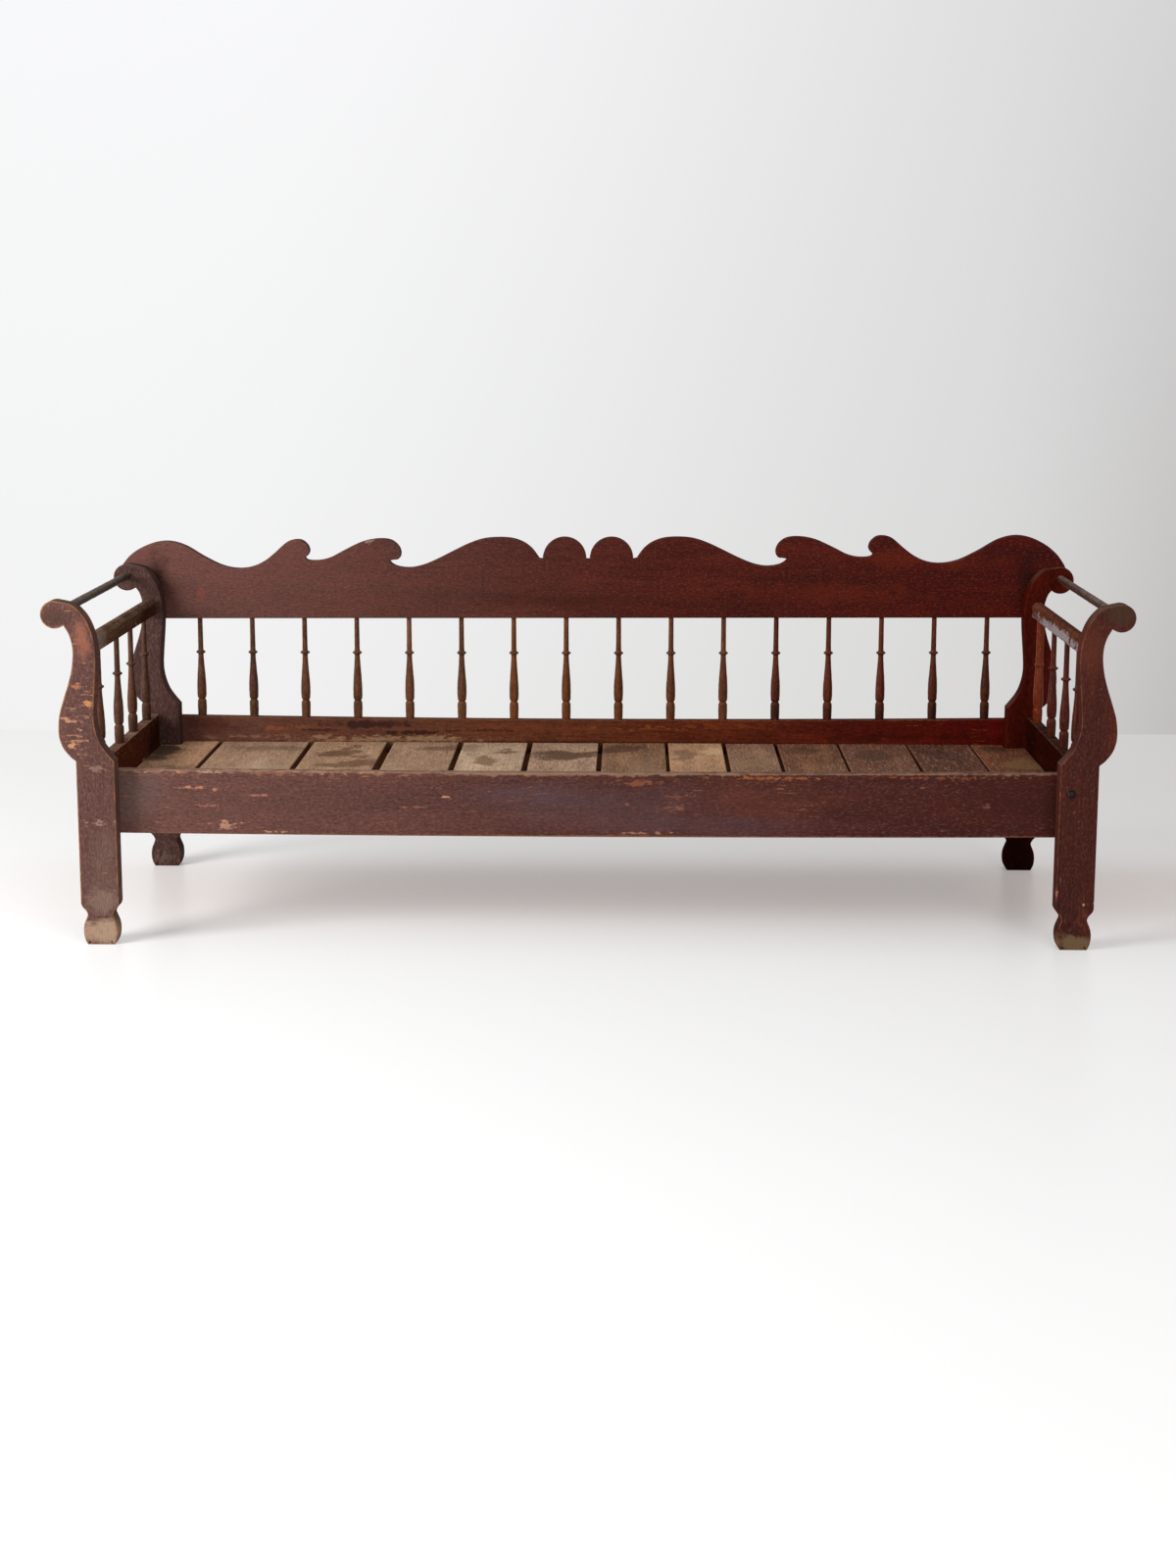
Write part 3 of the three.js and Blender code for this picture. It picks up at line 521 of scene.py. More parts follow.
def stained_wood(name, grain, tones, bare, patches=(), wear=0.5, scuffs=0.2, mottle=0.5, dust=0.2,
                 gloss=0.46, seed=0.0, scuff_grain=None, fade=0.0, deep=None, face="Y", specks=0.14,
                 shine=0.1):
    """Stained and varnished wood. tones are its dark, middle and light colour by figure, bare the
    colour of rubbed wood, and each patch a (centre, reach, ragged, colour, strength), with its softness
    if it is a smudge, and also its chips if it is flaked off. specks is how pale the specks are, and
    shine how much varnish is left. fade is how much pale pink is painted over the window end, a painted
    sheen that stands in for the window's light on the varnish, and deep the colour that the stain is
    multiplied by towards the other end, a painted shade away from the window that also leaves it redder.
    face is the direction of the planed face; the sawn edges round it are dull."""
    material, shade = blank_material(name)
    place = shade.place()
    parts = shade.parts(place)
    along, chips_along = (turned_to(shade, parts, way) for way in (grain, scuff_grain or grain))
    colour, wood, blots = grained(shade, along, seed, seed + 3.0, tones, 0.75, (0.58, 0.34, 0.0, 0.6),
                                  mottle, mottle * 0.7)
    rough = shade.eased(wood["Figure"], 0.2, 0.8, gloss - 0.06, gloss + 0.1)
    rough = shade.plus(rough, shade.times(blots["Small"], 0.1))
    # Painted shade: the stain is darkened and reddened towards the right end, away from the window.
    if deep:
        colour = shade.layered(colour, deep, shade.eased(parts[0], -0.45, 1.0), how="MULTIPLY")
    # Painted sheen: pale pink over the left end, standing in for the window's light on the varnish.
    if fade:
        colour = shade.layered(colour, SHEEN_PINK, shade.eased(parts[0], 0.2, -0.95, 0.0, fade))
    speck = shade.use(speck_group, Along=along, Seed=seed)
    colour = shade.layered(colour, PALE_SPECK, speck["Pale"], specks)
    colour = shade.layered(colour, DARK_SPECK, speck["Dark"], 0.4)
    for centre, reach, ragged, patch_colour, strength, *edge in patches:
        soft, chips = edge if len(edge) == 2 else (edge[0], SMUDGE_CHIPS) if edge else FLAKED_OFF
        mask = shade.times(patch_mask(shade, place, chips_along, centre, reach, ragged, soft, chips), strength)
        colour = shade.layered(colour, patch_colour, mask)
        rough = shade.plus(rough, shade.times(mask, 0.15))
    flakes = shade.use(scuff_group, Along=chips_along, Amount=scuffs)["Mask"]
    rubbed = shade.use(rub_group, Place=place, Wear=wear)["Mask"]
    dusty = shade.use(dust_group, Place=place, Amount=dust)["Mask"]
    for over, share, strength in ((bare, flakes, 0.75), (bare, rubbed, 0.8), (PORE, wood["Pores"], 0.35),
                                  (DUST, dusty, None)):
        colour = shade.layered(colour, over, share, strength)
    rough = shade.plus(rough, shade.times(rubbed, 0.18))
    rough = shade.plus(rough, shade.times(dusty, 0.4), clamp=True)
    if face:
        is_edge = shade.eased(shade.reckon("ABSOLUTE", shade.facing()[face]), 0.75, 0.4)
        rough = shade.plus(rough, shade.times(is_edge, 0.5), clamp=True)
    height = shade.minus(wood["Height"], shade.times(flakes, 0.5))
    shade.surfaced(colour, rough, height, 0.35, 0.0006, Specular_IOR_Level=shine)
    return material


def stain(made, node, name, grain, slot="stained_wood", **look):
    """Dresses a piece in a stained wood of its own."""
    stand_in(made, node, stained_wood(name, grain, **look))


def scroll_point(shares):
    """Shares of the scroll's reach and of its rise, outward from the leg's centre and up."""
    return np.asarray(shares, float) * [SCROLL_REACH, HEAD_HEIGHT - LEG_HEIGHT] + [0, LEG_HEIGHT]


def post_outline(head_height, head_radius):
    """Foot, outer edge, head and inner edge, in that order, outward from the leg's centre and up."""
    foot = smooth_through(np.asarray(FOOT_SHARES) * [LEG_HALF, FOOT_HEIGHT])
    head = arc(HEAD_REACH, head_height, head_radius, HEAD_ARC_TURNS, 60)
    outer = np.vstack([[[LEG_HALF, LEG_HEIGHT]], scroll_point(OUTER_EDGE_SHARES), head[:1]])
    inner = np.vstack([head[-1:], scroll_point(INNER_EDGE_SHARES), [[-LEG_HALF, LEG_HEIGHT]]])
    return np.vstack([foot, smooth_through(outer), head[1:], smooth_through(inner)[1:],
                      foot[::-1] * [-1, 1]])


FLAKE_SIZE, FLAKE_DEPTH, THROUGH = 0.015, 0.012, 0.5


def on_front(face, rows, depth=None):
    """Patches on an upright face at Y = face. A row starts with the place in X and Z and the reach in X
    and Z. Unless the depth is given, a small flake stays on its face and a larger patch goes through."""
    return [((x, face, z), (wide, depth or (FLAKE_DEPTH if min(wide, tall) < FLAKE_SIZE else THROUGH), tall),
             *look) for x, z, wide, tall, *look in rows]


BACK_POST_PATCHES = 0.3
post_looks = {
    "front_left_post": dict(
        tones=("341a16", "452520", "513129"), bare="96653f", wear=0.58, scuffs=0.3, scuff_grain="X",
        fade=0.12, patches=on_front(POST_FRONT, [
            (-0.853, 0.022, 0.06, 0.034, 0.3, "8d7460", 0.95, 0.5, 0.12),
            (-0.848, 0.082, 0.045, 0.035, 0.5, "7c6455", 0.45, 0.7, 0.3),
            (-0.853, 0.14, 0.06, 0.09, 0.5, "6e5f52", 0.28, 0.9),
            (-0.875, 0.435, 0.042, 0.055, 0.5, "96694e", 0.66, 0.35, 2.3),
            (-0.886, 0.368, 0.030, 0.040, 0.6, "96694e", 0.66, 0.35, 2.1),
            (-0.865, 0.432, 0.013, 0.010, 0.7, "a87448", 0.75, 0.4, 0.6),
            (-0.898, 0.401, 0.022, 0.006, 0.8, "aa7c60", 0.7, 0.4, 0.6),
            (-0.893, 0.356, 0.010, 0.014, 0.8, "a87a54", 0.7, 0.4, 0.6),
            (-0.888, 0.458, 0.016, 0.008, 0.9, "9a6248", 0.65, 0.4, 0.6),
            (-0.852, 0.314, 0.020, 0.008, 0.8, "7c6257", 0.6),
            (-0.860, 0.22, 0.04, 0.008, 0.9, "8a7066", 0.6),
            (-0.912, 0.580, 0.04, 0.026, 0.4, "3c2a22", 0.7, 0.8),
            (-0.868, 0.545, 0.02, 0.05, 0.6, "8e5740", 0.5, 0.7),
        ])),
    "front_right_post": dict(
        tones=("2c0b06", "3e1409", "501c0e"), bare="7a4636", wear=0.45, specks=0.08, scuffs=0.05,
        patches=on_front(POST_FRONT, [
            (0.858, 0.012, 0.06, 0.022, 0.5, "665038", 0.8, 0.5),
            (0.858, 0.06, 0.04, 0.03, 0.9, "5e2f1e", 0.5),
            (0.846, 0.245, 0.006, 0.010, 0.6, "5c362c", 0.6),
            (0.87, 0.082, 0.0025, 0.003, 0.2, "a98b78", 0.9, 0.4),
            (0.889, 0.085, 0.003, 0.003, 0.2, "a98b78", 0.9, 0.4),
            (0.822, 0.1, 0.0035, 0.010, 0.6, "8f5a42", 0.9),
            (0.915, 0.590, 0.035, 0.028, 0.4, "38281c", 0.7, 0.8),
            (0.866, 0.52, 0.05, 0.08, 0.4, "5c2c18", 0.45, 0.95),
        ])),
    "back_left_post": dict(
        tones=("200a07", "2e130e", "381c15"), bare="5c3c2c", wear=0.4, scuffs=0.15, fade=0.1,
        patches=on_front(BACK_POST_PATCHES, [(-0.853, 0.02, 0.06, 0.03, 0.5, "5c4a40", 0.7)])),
    "back_right_post": dict(
        tones=("2c0702", "400c04", "521207"), bare="591d0a", wear=0.35, specks=0.03, scuffs=0.05,
        shine=0.01, patches=on_front(BACK_POST_PATCHES, [
            # A near-black patch over the foot and the lower leg: painted shade.
            (0.855, 0.02, 0.08, 0.16, 0.3, "0d0302", 0.85, 0.7),
            (0.845, 0.012, 0.03, 0.010, 0.7, "2a1a10", 0.5),
        ])),
}
for post_name, look in post_looks.items():
    post_side = -1 if "left" in post_name else 1
    post_face = POST_FRONT if "front" in post_name else BACK_POST_FRONT
    post_seed = float(len(post_name) + 3 * post_side)
    head = (HEAD_HEIGHT, HEAD_RADIUS) if "front" in post_name else (BACK_HEAD_HEIGHT, BACK_HEAD_RADIUS)
    outline = post_outline(*head) * [post_side, 1] + [post_side * LEG_CENTRE, 0]
    lyre = sawn_board(post_name + "_sawn", outline, post_face, post_face + POST_THICKNESS, arris=0.0022,
                      seed=post_seed)
    stain(lyre, post_name, post_name + "_stain", "Z", seed=post_seed, **look)

# Front rail. A deep board lapped on the back faces of the front posts. Its top arris is rubbed bare by
# legs and hands, and its face is scuffed and smudged black in the middle.
RAIL_THICKNESS = 0.022
SIDE_RAIL_FACES = (0.8615, 0.8825)
FRONT_RAIL_REACH = SIDE_RAIL_FACES[0] - FIT
FRONT_RAIL_FACE = POST_FRONT + POST_THICKNESS + FIT
FRONT_RAIL_BACK = FRONT_RAIL_FACE + RAIL_THICKNESS
FRONT_RAIL_Z, FRONT_RAIL_SAG = (0.1935, 0.308), 0.0035
OVER_EDGE = 0.1  # how far a patch on an arris reaches over it
front_rail_rows = [
    (0.02, 0.25, 0.30, 0.060, 0.25, "4e4044", 0.34, 0.9), (0.20, 0.212, 0.42, 0.030, 0.3, "523e42", 0.30, 0.9),
    (-0.12, 0.268, 0.14, 0.03, 0.35, "4e3c42", 0.4, 0.9), (-0.82, 0.25, 0.12, 0.08, 0.6, "6b625c", 0.22, 0.9),
    (-0.5, 0.309, 0.9, 0.008, 0.6, "9c7d68", 0.85), (0.6, 0.309, 0.5, 0.008, 0.6, "7c5843", 0.8),
    (0.0, 0.306, 0.4, 0.008, 0.6, "8e6f58", 0.5, 0.4), (-0.45, 0.305, 0.5, 0.009, 0.8, "8a6248", 0.45),
    (-0.63, 0.209, 0.030, 0.010, 0.7, "9a705c", 0.85), (-0.55, 0.197, 0.035, 0.004, 0.9, "a3745c", 0.7),
    (-0.695, 0.276, 0.035, 0.003, 0.9, "a06c54", 0.85), (-0.648, 0.273, 0.020, 0.004, 0.9, "9c684f", 0.85),
    (-0.58, 0.262, 0.035, 0.003, 0.9, "8c5c4c", 0.8), (-0.67, 0.243, 0.030, 0.003, 0.9, "8c5c4c", 0.7),
    (-0.272, 0.277, 0.014, 0.003, 0.9, "a56c52", 0.8), (-0.245, 0.262, 0.012, 0.004, 0.9, "a97a60", 0.8),
    (-0.30, 0.243, 0.05, 0.003, 0.9, "84523f", 0.6), (0.072, 0.252, 0.004, 0.016, 0.7, "8a5238", 0.75),
    (0.09, 0.287, 0.06, 0.008, 0.9, "7d4a32", 0.6), (0.165, 0.262, 0.030, 0.012, 0.9, "7a4530", 0.6),
    (0.15, 0.243, 0.030, 0.008, 0.9, "7a4a38", 0.55), (0.33, 0.297, 0.13, 0.005, 0.7, "8a4f26", 0.75),
    (0.62, 0.299, 0.2, 0.004, 0.8, "7a4424", 0.6), (0.82, 0.25, 0.20, 0.08, 0.4, "2c0f08", 0.55, 0.95),
    (0.0, 0.190, 0.95, 0.005, 0.4, "80502c", 0.6, 0.4, 0.2),
    (0.30, 0.255, 0.22, 0.05, 0.4, "7c4434", 0.16, 0.95), (0.12, 0.298, 0.14, 0.003, 0.8, "2e1a14", 0.7),
    (0.70, 0.25, 0.02, 0.006, 0.9, "7d4c40", 0.5), (0.1, 0.198, 0.06, 0.003, 0.8, "9c6f5a", 0.6),
]
front_rail_patches = [patch for row in front_rail_rows for patch in on_front(
    FRONT_RAIL_FACE, [row], THROUGH if FRONT_RAIL_Z[0] < row[1] < 0.3 else OVER_EDGE)]


def rail_outline(reach, low, high, sag):
    """A long board that hangs down in the middle: both edges follow one parabola."""
    along = np.linspace(-reach, reach, 41)
    hang = sag * (1 - (along / reach) ** 2)
    return np.vstack([np.stack([along, low - hang], -1), np.stack([along, high - hang], -1)[::-1]])


front_board = sawn_board(
    "front_rail_board", rail_outline(FRONT_RAIL_REACH, *FRONT_RAIL_Z, FRONT_RAIL_SAG),
    FRONT_RAIL_FACE, FRONT_RAIL_BACK, arris=0.0032, step=0.006, seed=4.0, wear=0.6)
stain(front_board, "front_rail", "front_rail_stain", "X", tones=("371b17", "4a2822", "573026"), bare="7d5440",
      patches=front_rail_patches, wear=0.55, mottle=0.6, dust=0.35, gloss=0.5, seed=7.0, fade=0.17,
      deep="d88468", specks=0.1)

# Back rail. The same kind of board behind the back posts, drilled along its top for the spindles. Its
# inner face has orange wear and black streaks on the left.
BACK_RAIL_REACH = LEG_CENTRE + LEG_HALF
BACK_RAIL_FACE = BACK_POST_FRONT + POST_THICKNESS + FIT
BACK_RAIL_BACK = BACK_RAIL_FACE + RAIL_THICKNESS
BACK_RAIL_Z, BACK_RAIL_SAG = (0.188, 0.301), 0.0064
STREAK_DEPTH = 0.02
back_rail_patches = on_front(BACK_RAIL_FACE, [
    (-0.62, 0.277, 0.10, 0.009, 0.8, "7d4326", 0.7), (-0.50, 0.257, 0.12, 0.008, 0.9, "86624c", 0.7),
    (-0.33, 0.255, 0.15, 0.009, 0.8, "8a6a50", 0.7), (-0.42, 0.252, 0.24, 0.014, 0.6, "86674f", 0.75, 0.6, 0.25),
    (-0.70, 0.258, 0.12, 0.006, 0.8, "84604a", 0.5), (-0.46, 0.284, 0.11, 0.009, 0.7, "2a1a18", 0.8, 0.6),
    (-0.37, 0.268, 0.08, 0.005, 0.9, "241614", 0.8, 0.6), (-0.22, 0.273, 0.09, 0.004, 0.9, "2a1814", 0.7, 0.6),
    (-0.55, 0.272, 0.05, 0.004, 0.9, "2a1814", 0.7, 0.6), (-0.76, 0.285, 0.08, 0.03, 0.5, "3a1410", 0.6, 0.9),
    (-0.1, 0.275, 0.25, 0.016, 0.8, "6b3820", 0.4), (0.10, 0.278, 0.10, 0.007, 0.9, "74401a", 0.6),
    (0.28, 0.283, 0.13, 0.009, 0.9, "6e3412", 0.55), (0.62, 0.262, 0.25, 0.012, 0.8, "240a04", 0.5, 0.8),
    # The long dark line along the seat is painted shade, where the seat boards meet the rail.
    (0.0, 0.248, 0.9, 0.005, 0.6, "1f0e0a", 0.6, 0.6),
], STREAK_DEPTH)
back_board = sawn_board(
    "back_rail_board", rail_outline(BACK_RAIL_REACH, *BACK_RAIL_Z, BACK_RAIL_SAG),
    BACK_RAIL_FACE, BACK_RAIL_BACK, arris=0.0022, step=0.006, seed=6.0)
stain(back_board, "back_rail", "back_rail_stain", "X", tones=("3a1a0d", "532914", "663b20"), bare="714227",
      patches=back_rail_patches, wear=0.45, scuffs=0.1, mottle=0.6, dust=0.08, gloss=0.5, seed=11.0,
      fade=0.18, deep="ea3003", specks=0.04, shine=0.03)

# Side rails. One board on each side, tenoned between the front and the back post, 310 mm high. The arm
# spindles stand in its top edge, and the corner at the back is darkened with painted shade and grime.
SIDE_RAIL_Z = (0.193, 0.310)
POST_FACES_Y = (POST_FRONT + POST_THICKNESS + FIT, BACK_POST_FRONT - FIT)
side_rail_outline = [(POST_FACES_Y[0], SIDE_RAIL_Z[0]), (POST_FACES_Y[1], SIDE_RAIL_Z[0]),
                     (POST_FACES_Y[1], SIDE_RAIL_Z[1]), (POST_FACES_Y[0], SIDE_RAIL_Z[1])]
CORNER_PLACE, CORNER_REACH = (0.24, 0.27), (0.02, 0.14, 0.06)
# The left rail has paler tones than the right one: partly the rails' own colour, and partly painted light and
# shade, lighter on the window side.
side_looks = {
    "left_side_rail": dict(tones=("391a0f", "4f2110", "62311b"), bare="8d7360", wear=0.6, dust=0.45),
    "right_side_rail": dict(tones=("1c0402", "280803", "360f06"), bare="5c3626", wear=0.5, dust=0.1,
                            specks=0.02),
}
corner_shade_and_grime = {"left_side_rail": ("120805", 0.7), "right_side_rail": ("0c0402", 0.5)}
for rail_name, look in side_looks.items():
    rail_side = -1 if "left" in rail_name else 1
    faces = sorted(rail_side * face for face in SIDE_RAIL_FACES)
    side_board = sawn_board(rail_name + "_board", side_rail_outline, *faces, normal="X", arris=0.002,
                            step=0.006, seed=2.0 + rail_side)
    # The inner face is darkened in the corner at the back with painted shade and grime.
    shade_and_grime = ((rail_side * SIDE_RAIL_FACES[0], *CORNER_PLACE), CORNER_REACH, 0.4, *corner_shade_and_grime[rail_name], 0.9)
    stain(side_board, rail_name, rail_name + "_stain", "Y", patches=[shade_and_grime], gloss=0.8, face=None, shine=0.0,
          seed=15.0 + rail_side, **look)

# Crest board. One wide board lapped on the back posts, sawn with two round lobes in the middle, two curls
# on each side and a hump over each post. The saw wandered, so the right end stands a little higher.
CREST_BOTTOM, CREST_HEIGHT, CREST_TILT = 0.4998, 0.1602, 0.0042
CREST_SHIFT, CREST_FALL, CREST_RISE = 0.009, 0.014, 0.0095
LOBE_RADIUS, LOBE_KERF, CREST_INSET = 0.043, 0.007, 0.003
INNER_HUMP_SHARES = [
    (0, 0.74), (0.009, 0.81), (0.0195, 0.874), (0.037, 0.94), (0.063, 0.988), (0.0965, 1),
    (0.131, 0.984), (0.164, 0.928), (0.199, 0.842), (0.235, 0.748), (0.267, 0.676), (0.294, 0.64),
    (0.314, 0.638), (0.333, 0.656), (0.345, 0.688), (0.352, 0.726),
]
INNER_CURL_SHARES = [
    (0.352, 0.726), (0.342, 0.736), (0.3305, 0.745), (0.325, 0.786), (0.325, 0.849), (0.332, 0.918),
    (0.346, 0.975), (0.366, 0.997), (0.392, 0.99), (0.418, 0.957), (0.442, 0.902), (0.467, 0.836),
    (0.491, 0.772), (0.513, 0.742), (0.534, 0.738), (0.546, 0.75), (0.5505, 0.775),
]
OUTER_CURL_SHARES = [
    (0.5505, 0.775), (0.543, 0.814), (0.54, 0.864), (0.545, 0.933), (0.558, 0.99), (0.574, 1),
    (0.592, 0.975), (0.607, 0.915), (0.624, 0.835), (0.649, 0.738), (0.678, 0.672), (0.711, 0.655),
    (0.749, 0.695), (0.792, 0.805), (0.832, 0.93), (0.862, 0.985), (0.888, 0.994), (0.916, 0.963),
    (0.945, 0.892), (0.97, 0.788), (0.987, 0.672),
]
CREST_END_TURNS = (0.055, -0.36)
CREST_NECK_SHARES = [(0.47, 0.84), (0.46, 0.73)]
HEAD_X = LEG_CENTRE + HEAD_REACH
CREST_END = HEAD_X + HEAD_RADIUS


def set_out(points):
    """Moves the sawn edge left by up to 9 mm and tilts it up to the right, dying out at both ends."""
    share = points[:, 0] / CREST_END
    rise = share * np.sqrt(np.abs(share)) * (1 - share**16)
    lift = np.where(share < 0, CREST_FALL, CREST_RISE) * rise
    return points + np.stack([-CREST_SHIFT * (1 - share**4), lift], -1)


def crest_side(side):
    """Half of the outline, from the middle notch over the lobe, humps and curls to the hidden end."""
    lobe_x = LOBE_KERF / 2 + LOBE_RADIUS
    hump_start = lobe_x + LOBE_RADIUS + LOBE_KERF
    scale = np.array([CREST_END - hump_start, CREST_HEIGHT])
    lobe = arc(lobe_x, CREST_BOTTOM + CREST_HEIGHT - LOBE_RADIUS, LOBE_RADIUS, (0.5, 0), 48)
    hump, curl, outer_curl = (smooth_through(np.asarray(shares) * scale + [hump_start, CREST_BOTTOM], 6)
                              for shares in (INNER_HUMP_SHARES, INNER_CURL_SHARES, OUTER_CURL_SHARES))
    end = arc(HEAD_X, HEAD_HEIGHT, HEAD_RADIUS - CREST_INSET, CREST_END_TURNS, 24)
    neck = scroll_point(CREST_NECK_SHARES) + [LEG_CENTRE, 0]
    foot = [[neck[-1, 0], CREST_BOTTOM + side * CREST_TILT * neck[-1, 0] / CREST_END]]
    return np.vstack([set_out(np.vstack([lobe, hump, curl[1:], outer_curl[1:]]) * [side, 1]),
                      np.vstack([end, neck, foot]) * [side, 1]])


crest_patches = on_front(BACK_RAIL_FACE, [
    (-0.776, 0.545, 0.010, 0.022, 0.8, "7a3a30", 0.5), (-0.439, 0.651, 0.022, 0.006, 0.7, "8a7a70", 0.7),
    # The two dark patches by the back posts are painted shadow, where the posts shade the crest board.
    (-0.864, 0.58, 0.038, 0.08, 0.3, "140806", 0.75, 0.85), (0.860, 0.58, 0.035, 0.08, 0.3, "140603", 0.6, 0.85),
    (-0.05, 0.535, 0.25, 0.02, 0.5, "38180f", 0.4, 0.8), (0.45, 0.555, 0.3, 0.03, 0.5, "5c1e0c", 0.4, 0.8),
    (0.66, 0.62, 0.2, 0.03, 0.5, "5e200c", 0.4, 0.8),
], STREAK_DEPTH)
crest = sawn_board("crest_sawn", np.vstack([crest_side(1), crest_side(-1)[::-1]]), BACK_RAIL_FACE,
                   BACK_RAIL_BACK, arris=0.0014, step=0.004, seed=8.0)
stain(crest, "crest_board", "crest_stain", "X", tones=("34110c", "471c13", "562618"), bare="63412d",
      patches=crest_patches, wear=0.3, scuffs=0.1, mottle=0.55, dust=0.1, gloss=0.42, seed=19.0, fade=0.26,
      deep="f47228", specks=0.09, shine=0.05)

# Arm rails. A slim rail on each side between the posts, over the arm spindles, with its inner upper edge
# rubbed to a slope. The right one is chewed grey and rough along its inner face.
ARM_RAIL_MIDDLE = sum(SIDE_RAIL_FACES) / 2
ARM_RAIL_INNER, ARM_RAIL_OUTER = ARM_RAIL_MIDDLE - 0.0105, ARM_RAIL_MIDDLE + 0.0105
ARM_RAIL_Z = (0.509, 0.539)
ARM_RAIL_BEVEL = 0.008
ARM_RAIL_ROUNDINGS = [0.0018, 0.0018, 0.004, 0.003, 0.003]
ARM_RAIL_PATCHES = ARM_RAIL_MIDDLE - 0.012
BITE_WIDTH, BITE_LEAST, BITE_MORE, BITE_LIFT = 0.008, 0.0012, 0.0032, 0.004
BITTEN_EDGE, BITTEN_EDGE_HEIGHT = 0.520, 0.012


def rounded_section(corners, radii, steps=5):
    """A closed section whose corners are eased by parabolas that start and end where arcs of the given
    radii would."""
    corners = np.asarray(corners, float)
    back = np.roll(corners, 1, 0) - corners
    on = np.roll(corners, -1, 0) - corners
    back /= np.linalg.norm(back, axis=1)[:, None]
    on /= np.linalg.norm(on, axis=1)[:, None]
    half = np.arccos(np.clip((back * on).sum(1), -1, 1)) / 2
    cut = np.asarray(radii) / np.tan(half)
    t = np.linspace(0, 1, steps)[None, :, None]
    start, end = corners + back * cut[:, None], corners + on * cut[:, None]
    curve = (1 - t)**2 * start[:, None] + 2 * t * (1 - t) * corners[:, None] + t**2 * end[:, None]
    return curve.reshape(-1, 2)


def rail_along(section, stations):
    """A grid: the section of (X, Z) points is carried along Y through the stations."""
    x, z = section.T[:, None]
    return np.stack(np.broadcast_arrays(x, stations[:, None], z), -1)


def chewed(grid):
    """Sinks the inner face and the slope above it by up to 4.4 mm, more along the lower edge, in bites
    whose size is a product of uneven waves along the rail and up its face."""
    across, along, up = np.moveaxis(grid, -1, 0)
    inner = np.clip((ARM_RAIL_MIDDLE - 0.001 - across) / BITE_WIDTH, 0, 1)
    bite = 0.5 + 0.5 * uneven(along + 0.6 * up, 3.0, 0.045).reshape(along.shape)
    bite *= 0.6 + 0.4 * uneven(along * 0.7 + up * 2.1, 8.0, 0.02).reshape(along.shape)
    low_edge = np.clip((BITTEN_EDGE - up) / BITTEN_EDGE_HEIGHT, 0, 1)
    bite = np.clip(bite, 0, 1)
    return np.stack([across + inner * (BITE_LEAST + BITE_MORE * bite), along,
                     up + inner * low_edge * BITE_LIFT * bite], -1)


arm_looks = {
    "left_arm_rail": dict(tones=("3c261a", "5c3f2e", "7a5c48"), bare="8d735c", wear=0.5, dust=0.3, patches=[
        ((-0.862, -0.26, 0.52), (0.04, 0.10, 0.05), 0.4, "8a756c", 0.6, 0.9),
        ((-0.862, 0.22, 0.52), (0.04, 0.18, 0.05), 0.4, "2e120c", 0.85, 0.95),
    ]),
    "right_arm_rail": dict(tones=("3a170c", "5a2a18", "74412c"), bare="8a6248", wear=0.45, dust=0.1, patches=[
        ((ARM_RAIL_PATCHES, -0.02, 0.517), (0.010, 0.42, 0.018), 0.3, "8e8284", 0.9, 0.35, 0.2),
        ((ARM_RAIL_PATCHES, -0.2, 0.514), (0.008, 0.035, 0.006), 0.9, "2c1c18", 0.8),
        ((ARM_RAIL_PATCHES, -0.1, 0.512), (0.008, 0.05, 0.004), 0.9, "2c1c18", 0.7),
        ((ARM_RAIL_PATCHES, 0.06, 0.520), (0.008, 0.03, 0.005), 0.9, "30201a", 0.6),
    ]),
}
low_z, top_z = ARM_RAIL_Z
arm_corners = [
    (ARM_RAIL_INNER, low_z), (ARM_RAIL_OUTER, low_z), (ARM_RAIL_OUTER, top_z),
    (ARM_RAIL_INNER + ARM_RAIL_BEVEL, top_z), (ARM_RAIL_INNER, top_z - ARM_RAIL_BEVEL),
]
arm_section = divided(rounded_section(arm_corners, ARM_RAIL_ROUNDINGS), 0.003)
arm_grid = rail_along(arm_section, np.linspace(*POST_FACES_Y, 151))
arm_worn = np.where(arm_section[:, 1] > top_z - 0.006, 0.8, 0.2)
for rail_name, look in arm_looks.items():
    rail_side = -1 if "left" in rail_name else 1
    rail_grid = chewed(arm_grid) if rail_side > 0 else arm_grid * [-1, 1, 1]
    arm_rail = skinned(rail_name + "_planed", rail_grid, arm_worn)
    stain(arm_rail, rail_name, rail_name + "_stain", "Y", gloss=0.75, face=None, shine=0.0,
          seed=23.0 + rail_side, **look)

# Arm rods. A thin round rod on each side, held in blind sockets in the scroll heads.
ROD_RADIUS, ROD_SUNK = 0.0076, 0.0177
ROD_ENDS_Y = (POST_FRONT + POST_THICKNESS - ROD_SUNK, BACK_POST_FRONT + ROD_SUNK)
ROD_STATIONS = 90


def turned(name, along, radius, axis, foot, sides=28, seed=1.0, waver=0.0):
    """A turned piece: a circle of the radius given for each place along its axis, a little uneven, and
    closed at both ends. axis is "Y" or "Z", and foot the point where along is 0."""
    angle = np.linspace(0, 2 * math.pi, sides, endpoint=False)
    radius = radius * (1 + waver * uneven(along, seed, 0.11))
    a = radius[:, None] * np.cos(angle)[None]
    b = radius[:, None] * np.sin(angle)[None]
    c = np.broadcast_to(along[:, None], a.shape)
    grid = np.stack((a, b, c) if axis == "Z" else (a, c, b), -1) + np.asarray(foot)
    slope = np.abs(np.gradient(radius, along))
    return skinned(name, grid, np.clip(slope * 0.6, 0, 0.8)[:, None])


